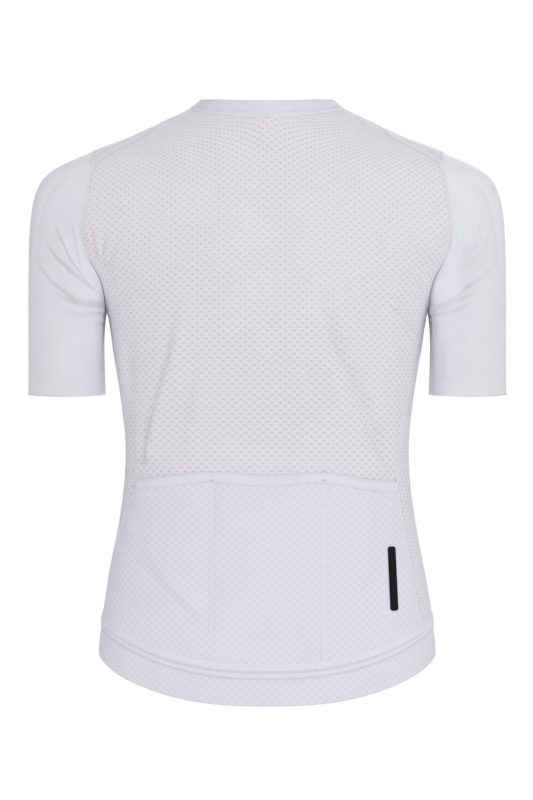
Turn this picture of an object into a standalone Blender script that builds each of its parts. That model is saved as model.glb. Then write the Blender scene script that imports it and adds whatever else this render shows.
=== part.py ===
"""Short-sleeve cycling jersey in its worn shape, empty inside: mesh body, smooth sleeves, low collar,
full-length front zip, three rear pockets in one pocket panel and a reflective strip.

Units are metres and +Z is up. The origin is on the midline, level with the shoulders that carry the jersey.
The back faces -Y, the zip is on the +Y side and +X is the wearer's right.
The body is one closed surface. It is read at an angle, counted from +X by way of the back (+90 degrees), and
at a station, which counts up the rows of BODY_ROWS. Each panel is a patch of it that Solidify makes into cloth.
"""

import math

import bpy
import numpy as np
from mathutils import Matrix, Vector

# Cloth and seams
CLOTH = 0.0012
BAND_CLOTH = 0.0015
COLLAR_CLOTH = 0.0014
BINDING_CLOTH = 0.0018
SEAM_GAP = 0.0004
LAID_ON_GAP = 0.0005

# Sleeve
CUFF_CENTRE = (0.2200, 0.000, -0.2835)
CUFF_HALF_WIDTH = 0.0420
CUFF_HALF_DEPTH = 0.0500
CUFF_BACK_DROP = 0.0030
UNDERARM_CLEAR = 0.0019
LEAVE_SPREAD = 0.40

# Pocket panel
BINDING_HEIGHT = 0.0120
POCKET_BULGE = 0.0020
DIVIDER_X = 0.0595

# Reflective strip
STRIP_WIDTH = 0.0083
STRIP_LENGTH = 0.0680
STRIP_THICKNESS = 0.0008
STRIP_TOP = (0.1321, -0.4483)
STRIP_LEAN = 0.0030

# Zip
ZIP_HALF_GAP = 0.0034
CHAIN_HALF_WIDTH = 0.0026
CHAIN_THICKNESS = 0.0020
CHAIN_LIFT = -0.0003
TAPE_INNER = 0.0029
TAPE_OUTER = 0.0150
TAPE_THICKNESS = 0.0008
TAPE_LIFT = -0.0019
SLIDER_STATION = 19.45
SLIDER_LENGTH = 0.0100
SLIDER_WIDTH = 0.0084
SLIDER_PLATE = 0.0010
SLIDER_FRONT = 0.0016
SLIDER_REAR = -0.0028
BRIDGE_WIDTH = 0.0020
BRIDGE_LENGTH = 0.0074
BRIDGE_INSIDE = 0.0024
BRIDGE_WALL = 0.0008
TAB_WIDTH = 0.0062
TAB_LENGTH = 0.0260
TAB_THICKNESS = 0.0010
TAB_HOLE = (0.0036, 0.0040)

# The body from hem to collar. Each row is a ring: its half width and height at the sides, how far the back
# and the front reach and how high they are there, how square the ring is, and how late it drops off.
BODY_COLUMNS = ("half_width", "side_z", "back_y", "back_z", "front_y", "front_z", "square", "drop")
HALF_WIDTH = BODY_COLUMNS.index("half_width")
SQUARE = BODY_COLUMNS.index("square")
BODY_ROWS = {
    "hem_edge": (0.1845, -0.567, 0.113, -0.616, 0.101, -0.557, 2.40, 1.5),
    "band_seam": (0.1810, -0.533, 0.112, -0.581, 0.101, -0.523, 2.40, 1.9),
    "hip": (0.1755, -0.494, 0.109, -0.524, 0.100, -0.489, 2.40, 1.9),
    "seat": (0.1680, -0.455, 0.104, -0.470, 0.0985, -0.453, 2.40, 1.8),
    "low_back": (0.1605, -0.412, 0.096, -0.418, 0.097, -0.411, 2.40, 1.7),
    "pocket_top": (0.1562, -0.375, 0.0905, -0.378, 0.096, -0.375, 2.40, 1.7),
    "waist": (0.1552, -0.340, 0.0895, -0.342, 0.0955, -0.340, 2.40, 1.7),
    "lumbar": (0.1578, -0.306, 0.093, -0.308, 0.097, -0.306, 2.40, 1.7),
    "ribs_low": (0.1620, -0.275, 0.0985, -0.277, 0.100, -0.275, 2.40, 1.7),
    "ribs_high": (0.1680, -0.238, 0.105, -0.241, 0.104, -0.239, 2.40, 1.7),
    "armpit": (0.1750, -0.196, 0.1095, -0.201, 0.107, -0.198, 2.40, 1.6),
    "under_blade": (0.1910, -0.160, 0.1115, -0.167, 0.105, -0.165, 2.35, 1.6),
    "blade": (0.2220, -0.121, 0.111, -0.136, 0.0995, -0.139, 2.30, 1.6),
    "upper_blade": (0.2360, -0.090, 0.1075, -0.108, 0.092, -0.114, 2.30, 1.6),
    "shoulder_cap": (0.2340, -0.060, 0.101, -0.082, 0.084, -0.094, 2.25, 1.6),
    "shoulder_turn": (0.2180, -0.034, 0.094, -0.058, 0.077, -0.077, 2.20, 1.6),
    "shoulder_point": (0.1910, -0.017, 0.0865, -0.038, 0.071, -0.0645, 2.15, 1.6),
    "shoulder_mid": (0.1500, -0.001, 0.078, -0.018, 0.066, -0.055, 2.10, 1.6),
    "neck_side": (0.1120, 0.017, 0.0715, 0.001, 0.0625, -0.0485, 2.05, 1.6),
    "collar_seam": (0.0845, 0.030, 0.0655, 0.0175, 0.0595, -0.043, 2.00, 1.6),
    "collar_top": (0.0730, 0.039, 0.060, 0.0335, 0.054, -0.032, 2.00, 1.6),
}

# Where the cloth is sewn, as (angle in degrees, station). The two side seams lean to the back differently.
RIGHT_SIDE_SEAM = (
    (26.5, 1), (28, 2), (28.5, 3), (29.5, 4), (28.5, 5), (24, 6), (21.5, 7), (17.5, 8), (6, 9), (0, 10),
)
LEFT_SIDE_SEAM = (
    (15, 1), (12, 2), (11, 3), (19, 4), (28, 5), (15, 6), (4, 7), (2, 8), (1, 9), (0, 10),
)
BACK_ARMHOLE = ((0, 10), (12, 10.3), (22, 11), (29, 12), (35, 13), (36, 14), (30, 15.2))
FRONT_ARMHOLE = (
    (0, 10), (-13, 10.3), (-25, 11), (-36, 12), (-43, 13), (-45, 14),
    (-38, 15), (-24, 15.6), (-8, 15.95), (8, 15.95), (20, 15.65), (30, 15.2),
)
SHOULDER_SEAM = ((30, 15.2), (30, 16), (28, 17), (22, 18), (14, 19))
# Where the front's rows end inwards, one for each row of the armhole: up the zip, then along the neckline.
FRONT_INNER = (
    (-90, 10), (-90, 10.4), (-90, 11.2), (-90, 12.5), (-90, 14), (-90, 15.7),
    (-90, 17.4), (-90, 19), (-62, 19), (-34, 19), (-8, 19), (14, 19),
)
# The pocket panel's top edge, as (x, z): high where the dividers hold it, lower between them and at its ends.
POCKET_TOP = (
    (-0.1390, -0.3755), (-0.0990, -0.3710), (-0.0620, -0.3670), (0.0000, -0.3709),
    (0.0600, -0.3680), (0.1070, -0.3756), (0.1395, -0.3785),
)

BACK_COLUMNS = 24
FRONT_COLUMNS = 12
NECK_STEPS = 3
SHOULDER_STEPS = 2
SLEEVE_ROWS = 9
ZIP_ROWS = 30

WHITE_MESH = (0.800, 0.790, 0.830)
WHITE_SMOOTH = (0.820, 0.830, 0.870)
WHITE_ZIP = (0.780, 0.780, 0.800)
METAL_WHITE = (0.720, 0.720, 0.740)
REFLECTIVE_BLACK = (0.012, 0.012, 0.014)


def clear_scene():
    for old in list(bpy.data.objects):
        bpy.data.objects.remove(old, do_unlink=True)
    for old in list(bpy.data.meshes):
        bpy.data.meshes.remove(old)


def make_collection(name, parent, render=True):
    found = bpy.data.collections.new(name)
    parent.children.link(found)
    found.hide_render = not render
    return found


def make_material(name, colour, roughness, metallic=0.0):
    made = bpy.data.materials.new(name)
    made.use_nodes = True
    shader = made.node_tree.nodes["Principled BSDF"]
    shader.inputs["Base Color"].default_value = (*colour, 1.0)
    shader.inputs["Roughness"].default_value = roughness
    shader.inputs["Metallic"].default_value = metallic
    made.diffuse_color = (*colour, 1.0)
    return made


def smooth_between(knots, at):
    """Values of a smooth curve through the rows of knots, at places that count along them from 0."""
    knots = np.asarray(knots, float)
    at = np.clip(np.asarray(at, float), 0.0, len(knots) - 1.0)
    first = np.minimum(at.astype(int), len(knots) - 2)
    part = (at - first)[..., None]
    before = knots[np.maximum(first - 1, 0)]
    start = knots[first]
    end = knots[first + 1]
    after = knots[np.minimum(first + 2, len(knots) - 1)]
    leave = (end - before) / 2
    arrive = (after - start) / 2
    return (
        start * (1 + 2 * part) * (1 - part) ** 2
        + leave * part * (1 - part) ** 2
        + end * part**2 * (3 - 2 * part)
        + arrive * part**2 * (part - 1)
    )


def body_points(angle, station):
    """The body surface. Angle in radians: 0 is +X, 90 degrees the back, -90 degrees the front."""
    rows = smooth_between(list(BODY_ROWS.values()), station)
    half_width, side_z, back_y, back_z, front_y, front_z, square, drop = np.moveaxis(rows, -1, 0)
    cosine = np.cos(angle)
    sine = np.sin(angle)
    reach = np.where(sine > 0, back_y, front_y)
    level = np.where(sine > 0, back_z, front_z)
    x = half_width * np.sign(cosine) * np.abs(cosine) ** (2 / square)
    y = -reach * np.sign(sine) * np.abs(sine) ** (2 / square)
    z = side_z + (level - side_z) * np.abs(sine) ** drop
    return np.stack([x, y, z], axis=-1)


def body_normals(angle, station):
    """Unit normals that point away from the wearer."""
    turn = 0.01
    climb = 0.02
    along = body_points(angle + turn, station) - body_points(angle - turn, station)
    up = body_points(angle, station + climb) - body_points(angle, station - climb)
    normal = np.cross(up, along)
    return normal / np.linalg.norm(normal, axis=-1, keepdims=True)


def unit(vectors):
    return vectors / np.maximum(np.linalg.norm(vectors, axis=-1, keepdims=True), 1e-9)


def back_place(x, z):
    """Angle and station of the point of the back that is seen at x and z, found by halving the station."""
    x = np.asarray(x, float)
    low = np.zeros_like(x)
    high = np.full_like(x, 12.0)
    for _ in range(40):
        station = (low + high) / 2
        rows = smooth_between(list(BODY_ROWS.values()), station)
        share = np.clip(np.abs(x) / rows[..., HALF_WIDTH], 0.0, 1.0)
        angle = np.arccos(share ** (rows[..., SQUARE] / 2))
        too_low = body_points(angle, station)[..., 2] < z
        low = np.where(too_low, station, low)
        high = np.where(too_low, high, station)
    return np.where(x < 0, math.pi - angle, angle), station


def front_angle(x, station):
    """Angle of the point of the front that is x from the middle."""
    rows = smooth_between(list(BODY_ROWS.values()), station)
    share = np.abs(x) / rows[..., HALF_WIDTH]
    from_middle = math.pi / 2 - np.arccos(share ** (rows[..., SQUARE] / 2))
    return -math.pi / 2 + np.sign(x) * from_middle


def inset(points, gap, sides):
    """The grid with the named sides moved in by a gap. Sides: first and last row, first and last column."""
    points = points.copy()
    if "first_row" in sides:
        points[0] += unit(points[1] - points[0]) * gap
    if "last_row" in sides:
        points[-1] += unit(points[-2] - points[-1]) * gap
    if "first_column" in sides:
        points[:, 0] += unit(points[:, 1] - points[:, 0]) * gap
    if "last_column" in sides:
        points[:, -1] += unit(points[:, -2] - points[:, -1]) * gap
    return points


ALL_SIDES = ("first_row", "last_row", "first_column", "last_column")


def grid_faces(rows, columns, ring):
    """Quads of a grid of points, wound so that they face out. A ring joins its last column to its first."""
    faces = []
    for i in range(rows - 1):
        for j in range(columns if ring else columns - 1):
            low = i * columns
            high = low + columns
            beside = (j + 1) % columns
            faces.append((low + j, high + j, high + beside, low + beside))
    return faces


def add_sheet(name, points, thickness, material, collection, parent, ring=False, flip=False):
    """A grid of points as an object of its own, which Solidify makes into cloth of the given thickness."""
    rows, columns = points.shape[:2]
    faces = grid_faces(rows, columns, ring)
    if flip:
        faces = [face[::-1] for face in faces]
    mesh = bpy.data.meshes.new(name)
    mesh.from_pydata(points.reshape(-1, 3).tolist(), [], faces)
    mesh.validate()
    for face in mesh.polygons:
        face.use_smooth = True
    mesh.materials.append(material)
    made = bpy.data.objects.new(name, mesh)
    collection.objects.link(made)
    made.parent = parent
    wall = made.modifiers.new("Cloth", "SOLIDIFY")
    wall.thickness = thickness
    wall.offset = 0.0
    wall.use_even_offset = True
    return made


def side_seam(side):
    return RIGHT_SIDE_SEAM if side > 0 else LEFT_SIDE_SEAM


def back_edge(side):
    """The back panel's outer edge from the hem band to the collar: side seam, armhole, shoulder seam."""
    return np.array(list(side_seam(side)) + list(BACK_ARMHOLE[1:]) + list(SHOULDER_SEAM[1:]), float)


def back_places(columns, steps):
    """Rows of (angle, station) from the right edge of the back panel to its left edge."""
    right = back_edge(1)
    left = back_edge(-1)
    left[:, 0] = 180 - left[:, 0]
    # The rows that end on the shoulder seams are closer together.
    corner = len(right) - len(SHOULDER_SEAM)
    low = np.linspace(0, corner, corner * steps + 1)
    high = np.linspace(corner, len(right) - 1, (len(right) - 1 - corner) * steps * SHOULDER_STEPS + 1)
    rows = np.concatenate([low, high[1:]])
    right = smooth_between(right, rows)[:, None]
    left = smooth_between(left, rows)[:, None]
    share = np.linspace(0, 1, columns)[None, :, None]
    places = right * (1 - share) + left * share
    return np.radians(places[..., 0]), places[..., 1]


def front_places(side, columns, steps, neck_steps):
    """Rows of one front, as if it were the right one. They fan round from the zip to the neckline."""
    outer = np.array(list(side_seam(side)) + list(FRONT_ARMHOLE[1:]), float)
    inner = np.array([(-90, station) for _, station in side_seam(side)] + list(FRONT_INNER[1:]), float)
    corner = max(row for row, place in enumerate(inner) if place[0] == -90)
    last = len(outer) - 1
    low = np.linspace(0, corner, corner * steps + 1)
    high = np.linspace(corner, last, (last - corner) * neck_steps + 1)
    rows = np.concatenate([low, high[1:]])
    outer = smooth_between(outer, rows)
    # The inner edge has a corner where the zip meets the neckline, so it is read in straight steps.
    inner = np.stack([np.interp(rows, range(last + 1), inner[:, k]) for k in range(2)], axis=-1)
    beside_zip = np.degrees(front_angle(np.full(len(rows), ZIP_HALF_GAP), inner[:, 1]))
    inner[:, 0] = np.maximum(inner[:, 0], beside_zip)
    share = np.linspace(0, 1, columns)[None, :, None]
    places = inner[:, None] * (1 - share) + outer[:, None] * share
    # The last row lies on the shoulder seam, and the rows before it lean towards that by degrees.
    seam_end = len(back_edge(side)) - 1
    seam = smooth_between(back_edge(side), seam_end - (len(SHOULDER_SEAM) - 1) * share[0, :, 0])
    lean = smooth_step((rows - corner) / (last - corner))[:, None, None]
    places = places + lean * (seam - places[-1])
    return np.radians(places[..., 0]), places[..., 1], rows, corner


def on_side(angle, side):
    return angle if side > 0 else math.pi - angle


def front_grid(side, columns):
    angle, station, _, _ = front_places(side, columns, 1, NECK_STEPS)
    points = body_points(on_side(angle, side), station)
    return points if side > 0 else points[:, ::-1]


def armhole_loop(side):
    """The panels' own places round an armhole, as if it were the right one: up the back, down the front.

    Returns angles, stations and how far round the sleeve each is: 0 at the outside, 90 degrees at the back.
    """
    knots = np.arange(len(side_seam(side)) - 1, len(side_seam(side)) + len(BACK_ARMHOLE) - 1)
    back = smooth_between(back_edge(side), knots)
    angle, station, rows, _ = front_places(side, 2, 1, NECK_STEPS)
    front = np.stack([np.degrees(angle[:, -1]), station[:, -1]], axis=-1)[rows > len(side_seam(side)) - 1]
    loop = np.concatenate([back, front[::-1][1:]])
    closed = np.concatenate([loop, loop[:1]])
    points = body_points(np.radians(closed[:, 0]), closed[:, 1])
    length = np.concatenate([[0], np.cumsum(np.linalg.norm(np.diff(points, axis=0), axis=1))])
    upper = closed[:, 1] > 14.5
    top = np.interp(0.0, -closed[upper, 0], length[upper])
    up_the_back = math.pi * (1 - length / top)
    down_the_front = -math.pi * (length - top) / (length[-1] - top)
    turn = np.where(length < top, up_the_back, down_the_front)
    return np.radians(loop[:, 0]), loop[:, 1], turn[:-1]


def smooth_step(value):
    value = np.clip(value, 0.0, 1.0)
    return value * value * (3 - 2 * value)


def sleeve_grid(side, rows):
    """A sleeve as rings from armhole to cuff. It leaves the body along the cloth, then hangs straight."""
    angle, station, turn = armhole_loop(side)
    start = body_points(angle, station)
    normal = body_normals(angle, station)
    along = unit(np.roll(start, -1, axis=0) - np.roll(start, 1, axis=0))
    leave = unit(np.cross(along, normal))
    outer = (1 + np.cos(turn)) / 2
    under = smooth_step((0.5 - outer) / 0.42)[:, None]
    leave = unit(leave * (1 - under) + np.array([0.25, 0.0, -1.0]) * under)
    # Directions are averaged with their neighbours, so that the cloth turns evenly round the loop.
    apart = np.abs(np.angle(np.exp(1j * (turn[:, None] - turn))))
    share = np.abs(np.angle(np.exp(1j * (np.roll(turn, -1) - np.roll(turn, 1)))))
    leave = unit((np.exp(-((apart / LEAVE_SPREAD) ** 2)) * share) @ leave)
    end = np.stack(
        [
            CUFF_CENTRE[0] + CUFF_HALF_WIDTH * np.cos(turn),
            CUFF_CENTRE[1] - CUFF_HALF_DEPTH * np.sin(turn),
            CUFF_CENTRE[2] - CUFF_BACK_DROP * np.sin(turn),
        ],
        axis=-1,
    )
    hang = np.array([0.0, 0.0, -1.0])
    start = start + leave * SEAM_GAP * 1.4 + under * np.array([UNDERARM_CLEAR, 0.0, 0.0])
    pull_out = (0.060 + 0.195 * outer**1.6)[:, None]
    pull_down = (0.060 + 0.690 * outer**1.5)[:, None]
    part = (np.linspace(0, 1, rows) ** 0.9)[:, None, None]
    points = (
        start * (1 + 2 * part) * (1 - part) ** 2
        + leave * pull_out * part * (1 - part) ** 2
        + end * part**2 * (3 - 2 * part)
        + hang * pull_down * part**2 * (part - 1)
    )
    return points * np.array([side, 1, 1])


def ring_angles(edge_right, edge_back, edge_left):
    """Angles right round from one edge of the zip to the other, through the panels' own places."""
    return np.concatenate([edge_right, edge_back[1:-1], on_side(edge_left, -1)[::-1]])


def band_grid(rows):
    right = front_places(1, FRONT_COLUMNS, 1, NECK_STEPS)[0][0]
    left = front_places(-1, FRONT_COLUMNS, 1, NECK_STEPS)[0][0]
    back = back_places(BACK_COLUMNS, 1)[0][0]
    top = ring_angles(right, back, left)
    station = np.linspace(0, 1, rows)[:, None] * np.ones(len(top))
    angle = np.ones((rows, 1)) * top
    return body_points(angle, station)


def neckline(side):
    angle, _, rows, corner = front_places(side, FRONT_COLUMNS, 1, NECK_STEPS)
    return angle[rows >= corner, 0]


def collar_grid(rows):
    back = back_places(BACK_COLUMNS, 1)[0][-1]
    bottom = ring_angles(neckline(1), back, neckline(-1))
    station = np.linspace(19, 20, rows)[:, None] * np.ones(len(bottom))
    angle = np.ones((rows, 1)) * bottom
    return body_points(angle, station)


def pocket_rise(x, z):
    """How far the pocket panel stands off: least at the dividers, ends and bottom, most at each mouth."""
    bay = np.where(np.abs(x) < DIVIDER_X, np.abs(x) / DIVIDER_X, (np.abs(x) - DIVIDER_X) / 0.080)
    across = np.where(np.abs(x) < DIVIDER_X, 1 - bay**2, 4 * bay * (1 - bay))
    up = smooth_step((z + 0.540) / 0.170)
    return POCKET_BULGE * np.clip(across, 0, 1) * up


def back_angles(station):
    """Angles of the back panel's columns at these stations, one station for each column."""
    share = np.linspace(0, 1, BACK_COLUMNS)
    right = smooth_between(back_edge(1), station - 1)[..., 0]
    left = 180 - smooth_between(back_edge(-1), station - 1)[..., 0]
    return np.radians(right * (1 - share) + left * share)


def pocket_edge(drop):
    """Stations of the pocket panel's top edge at the back panel's columns, or of a line this far below it."""
    table = np.array(POCKET_TOP)
    fine = smooth_between(table, np.linspace(0, len(table) - 1, 200))
    station = np.full(BACK_COLUMNS, 5.0)
    for _ in range(8):
        x = body_points(back_angles(station), station)[:, 0]
        station = back_place(x, np.interp(x, fine[:, 0], fine[:, 1]) - drop)[1]
    return station


def pocket_grid(stations, lift):
    """The back panel's own columns, read at rows of stations and moved out."""
    station = np.stack([np.broadcast_to(row, BACK_COLUMNS) for row in stations])
    angle = back_angles(station)
    points = body_points(angle, station)
    rise = lift + pocket_rise(points[..., 0], points[..., 2])[..., None]
    return points + body_normals(angle, station) * rise


def strip_solid(material, collection, parent):
    """The reflective strip: a round-ended outline with a row of quads between its long sides, then Solidify."""
    half = STRIP_WIDTH / 2
    ends = 5
    arc = np.linspace(0, math.pi / 2, ends)
    from_end = half * (1 - np.cos(arc))
    straight = np.linspace(half, STRIP_LENGTH - half, 7)[1:-1]
    along = np.concatenate([from_end, straight, STRIP_LENGTH - from_end[::-1]])
    wide = np.concatenate([half * np.sin(arc), np.full(5, half), half * np.sin(arc[::-1])])
    wide = np.maximum(wide, half * 0.22)
    across = np.linspace(-1, 1, 3)
    x = STRIP_TOP[0] + STRIP_LEAN * along[:, None] / STRIP_LENGTH + wide[:, None] * across
    z = STRIP_TOP[1] - along[:, None] + 0 * across
    angle, station = back_place(x, z)
    points = body_points(angle, station)
    lift = CLOTH * 1.5 + 2 * LAID_ON_GAP + STRIP_THICKNESS / 2
    rise = lift + pocket_rise(points[..., 0], points[..., 2])[..., None]
    points = points + body_normals(angle, station) * rise
    return add_sheet("reflective_strip", points, STRIP_THICKNESS, material, collection, parent)


def zip_grid(inner, outer, low, high, rows, lift, side):
    station = np.linspace(low, high, rows)[:, None] * np.ones(2)
    x = np.array([inner, outer]) * side
    x = np.sort(x)[None, :] * np.ones((rows, 1))
    angle = front_angle(x, station)
    return body_points(angle, station) + body_normals(angle, station) * lift


def zip_frame():
    """A matrix at the slider: +X across, +Y out of the chest and -Z down along the zip."""
    station = np.array([SLIDER_STATION])
    angle = np.array([-math.pi / 2])
    origin = body_points(angle, station)[0]
    out = Vector((0.0, *body_normals(angle, station)[0][1:])).normalized()
    across = Vector((1.0, 0.0, 0.0))
    up = across.cross(out)
    turned = Matrix((across, out, up)).transposed().to_4x4()
    return Matrix.Translation(Vector(origin)) @ turned


def box(name, size, centre, frame, material, collection, parent, bevel=0.0):
    bpy.ops.mesh.primitive_cube_add(size=1.0)
    made = bpy.context.active_object
    made.name = name
    made.data.name = name
    for old in list(made.users_collection):
        old.objects.unlink(made)
    collection.objects.link(made)
    made.data.transform(Matrix.Diagonal((*size, 1.0)))
    made.data.materials.append(material)
    made.matrix_world = frame @ Matrix.Translation(Vector(centre))
    if parent is not None:
        made.parent = parent
        made.matrix_parent_inverse = parent.matrix_world.inverted()
    if bevel > 0:
        rounded = made.modifiers.new("Edges", "BEVEL")
        rounded.width = bevel
        rounded.segments = 2
    return made


def boolean(target, cutter, operation):
    cut = target.modifiers.new(f"{operation.title()} {cutter.name}", "BOOLEAN")
    cut.operation = operation
    cut.solver = "EXACT"
    cut.object = cutter
    cutter.hide_render = True
    cutter.display_type = "WIRE"


def build_slider(material, collection, helpers, parent):
    """Front and rear plates joined by a post above the chain, with a bridge over the pull tab's bar."""
    frame = zip_frame()
    plate = (SLIDER_WIDTH, SLIDER_PLATE, SLIDER_LENGTH)
    plate_centre = (0, SLIDER_FRONT + SLIDER_PLATE / 2, 0)
    slider = box("zip_slider", plate, plate_centre, frame, material, collection, parent)
    post_size = (0.0022, SLIDER_FRONT - SLIDER_REAR + SLIDER_PLATE, 0.0024)
    post_centre = (0, (SLIDER_FRONT + SLIDER_REAR) / 2, 0.0034)
    post = box("slider_post", post_size, post_centre, frame, material, helpers, parent)
    rear_size = (SLIDER_WIDTH * 0.86, SLIDER_PLATE, SLIDER_LENGTH)
    rear_centre = (0, SLIDER_REAR - SLIDER_PLATE / 2, 0)
    rear = box("slider_rear", rear_size, rear_centre, frame, material, helpers, parent)
    base = SLIDER_FRONT + SLIDER_PLATE
    tall = BRIDGE_INSIDE + BRIDGE_WALL
    sunk = SLIDER_PLATE / 2
    bridge_size = (BRIDGE_WIDTH, tall + sunk, BRIDGE_LENGTH)
    bridge_centre = (0, base + (tall - sunk) / 2, 0)
    bridge = box("slider_bridge", bridge_size, bridge_centre, frame, material, helpers, parent)
    window_size = (BRIDGE_WIDTH * 2, BRIDGE_INSIDE, BRIDGE_LENGTH - 2 * BRIDGE_WALL)
    window_centre = (0, base + BRIDGE_INSIDE / 2, 0)
    window = box("slider_window", window_size, window_centre, frame, material, helpers, parent)
    boolean(bridge, window, "DIFFERENCE")
    for piece in (post, rear, bridge):
        boolean(slider, piece, "UNION")
    rounded = slider.modifiers.new("Edges", "BEVEL")
    rounded.width = 0.00025
    rounded.segments = 1
    return slider


def build_tab(material, collection, helpers, parent):
    """The pull tab. Its origin is the middle of the bar under the slider's bridge, which it turns on."""
    bar_depth = SLIDER_FRONT + SLIDER_PLATE + BRIDGE_INSIDE / 2
    frame = zip_frame() @ Matrix.Translation(Vector((0, bar_depth, 0)))
    bar = TAB_THICKNESS / 2
    tab_size = (TAB_WIDTH, TAB_THICKNESS, TAB_LENGTH)
    tab = box("pull_tab", tab_size, (0, 0, 0), frame, material, collection, parent)
    tab.data.transform(Matrix.Translation(Vector((0, 0, bar - TAB_LENGTH / 2))))
    eye_size = (TAB_HOLE[0], TAB_THICKNESS * 3, TAB_HOLE[1])
    eye_centre = (0, 0, -bar - TAB_HOLE[1] / 2)
    eye = box("tab_eye", eye_size, eye_centre, frame, material, helpers, parent)
    boolean(tab, eye, "DIFFERENCE")
    nick_size = (0.0024, TAB_THICKNESS * 3, TAB_LENGTH * 0.5)
    for side, word in ((1, "right"), (-1, "left")):
        nick_centre = (side * (TAB_WIDTH / 2 + 0.0004), 0, -TAB_LENGTH * 0.56)
        nick = box(f"tab_nick_{word}", nick_size, nick_centre, frame, material, helpers, parent)
        boolean(tab, nick, "DIFFERENCE")
    return tab


def build():
    clear_scene()
    scene = bpy.context.scene
    scene.unit_settings.system = "METRIC"
    scene.unit_settings.scale_length = 1.0
    jersey = make_collection("cycling_jersey", scene.collection)
    helpers = make_collection("cutters", scene.collection, render=False)
    holder = bpy.data.objects.new("wearer_shoulders", None)
    holder.empty_display_size = 0.05
    jersey.objects.link(holder)

    mesh_cloth = make_material("mesh_cloth", WHITE_MESH, 0.75)
    pocket_cloth = make_material("pocket_cloth", WHITE_MESH, 0.72)
    sleeve_cloth = make_material("sleeve_cloth", WHITE_SMOOTH, 0.55)
    collar_cloth = make_material("collar_cloth", WHITE_SMOOTH, 0.60)
    band_cloth = make_material("hem_band_cloth", WHITE_MESH, 0.70)
    binding_cloth = make_material("pocket_binding_cloth", WHITE_SMOOTH, 0.60)
    reflective = make_material("reflective_black", REFLECTIVE_BLACK, 0.45)
    tape_cloth = make_material("zip_tape_cloth", WHITE_ZIP, 0.70)
    chain_nylon = make_material("zip_chain_nylon", WHITE_ZIP, 0.40)
    slider_metal = make_material("zip_slider_paint", METAL_WHITE, 0.35, 0.4)
    tab_metal = make_material("pull_tab_paint", METAL_WHITE, 0.35, 0.4)

    gap = SEAM_GAP / 2
    angle, station = back_places(BACK_COLUMNS, 1)
    add_sheet("back", inset(body_points(angle, station), gap, ALL_SIDES), CLOTH, mesh_cloth, jersey, holder)
    for side, word in ((1, "right"), (-1, "left")):
        points = inset(front_grid(side, FRONT_COLUMNS), gap, ALL_SIDES)
        add_sheet(f"front_{word}", points, CLOTH, mesh_cloth, jersey, holder)
        points = sleeve_grid(side, SLEEVE_ROWS)
        add_sheet(f"sleeve_{word}", points, CLOTH, sleeve_cloth, jersey, holder, ring=True, flip=side < 0)
        points = zip_grid(TAPE_INNER, TAPE_OUTER, 0.1, 19.92, ZIP_ROWS, TAPE_LIFT, side)
        add_sheet(f"zip_tape_{word}", points, TAPE_THICKNESS, tape_cloth, jersey, holder)
    add_sheet("collar", inset(collar_grid(2), gap, ("first_row",)), COLLAR_CLOTH, collar_cloth, jersey, holder)
    add_sheet("hem_band", inset(band_grid(3), gap, ("last_row",)), BAND_CLOTH, band_cloth, jersey, holder)

    lift = CLOTH + LAID_ON_GAP
    under_binding = pocket_edge(BINDING_HEIGHT)
    points = pocket_grid([1.0, 2.0, 3.0, 4.0, under_binding], lift)
    add_sheet("pocket_panel", inset(points, gap, ALL_SIDES), CLOTH, pocket_cloth, jersey, holder)
    binding_lift = lift + (BINDING_CLOTH - CLOTH) / 2 + LAID_ON_GAP / 2
    points = pocket_grid([under_binding, pocket_edge(0.0)], binding_lift)
    add_sheet("pocket_binding", inset(points, gap, ALL_SIDES), BINDING_CLOTH, binding_cloth, jersey, holder)
    strip_solid(reflective, jersey, holder)

    chain = zip_grid(-CHAIN_HALF_WIDTH, CHAIN_HALF_WIDTH, 0.12, SLIDER_STATION, ZIP_ROWS, CHAIN_LIFT, 1)
    add_sheet("zip_chain", chain, CHAIN_THICKNESS, chain_nylon, jersey, holder)
    build_slider(slider_metal, jersey, helpers, holder)
    build_tab(tab_metal, jersey, helpers, holder)


build()
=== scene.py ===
"""A short-sleeve cycling jersey in its worn shape, empty inside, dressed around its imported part.

The body is one closed form read at an angle and a station, as in the part: the angle counts from +X by way
of the back (+90 degrees), and the station counts up the rows from the hem to the collar. Each panel is a fine
patch of that form. Folds are soft ridges and troughs that move its points along their normals, and Solidify
gives it its wall. Lengths are metres, and the back faces -Y.
"""

import logging
import math
from dataclasses import dataclass, field
from enum import Enum

import bpy
import numpy as np
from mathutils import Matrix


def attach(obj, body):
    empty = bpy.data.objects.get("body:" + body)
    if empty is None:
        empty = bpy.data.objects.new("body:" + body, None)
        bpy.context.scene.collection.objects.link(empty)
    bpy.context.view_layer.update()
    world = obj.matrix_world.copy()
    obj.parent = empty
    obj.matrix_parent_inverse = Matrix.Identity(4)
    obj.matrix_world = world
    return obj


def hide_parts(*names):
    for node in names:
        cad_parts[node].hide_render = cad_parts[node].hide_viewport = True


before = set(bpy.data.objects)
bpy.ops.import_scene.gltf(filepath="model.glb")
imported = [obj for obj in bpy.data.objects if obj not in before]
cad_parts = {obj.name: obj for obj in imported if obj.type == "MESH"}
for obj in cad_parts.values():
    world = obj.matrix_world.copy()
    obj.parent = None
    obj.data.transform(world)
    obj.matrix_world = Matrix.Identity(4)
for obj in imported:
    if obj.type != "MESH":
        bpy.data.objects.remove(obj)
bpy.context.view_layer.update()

LOG = logging.getLogger("jersey")
GARMENT = "garment"
UV_NAME = "cloth_uv"

MM = 0.001
TRIM_STEP = 1.6 * MM  # between points along a seam or a row of stitches
COLLAR_SEAM, COLLAR_TOP = 19.0, 20.0  # stations

RIGHT, LEFT = 1, -1
SIDE_WORD = {RIGHT: "right", LEFT: "left"}

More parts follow.
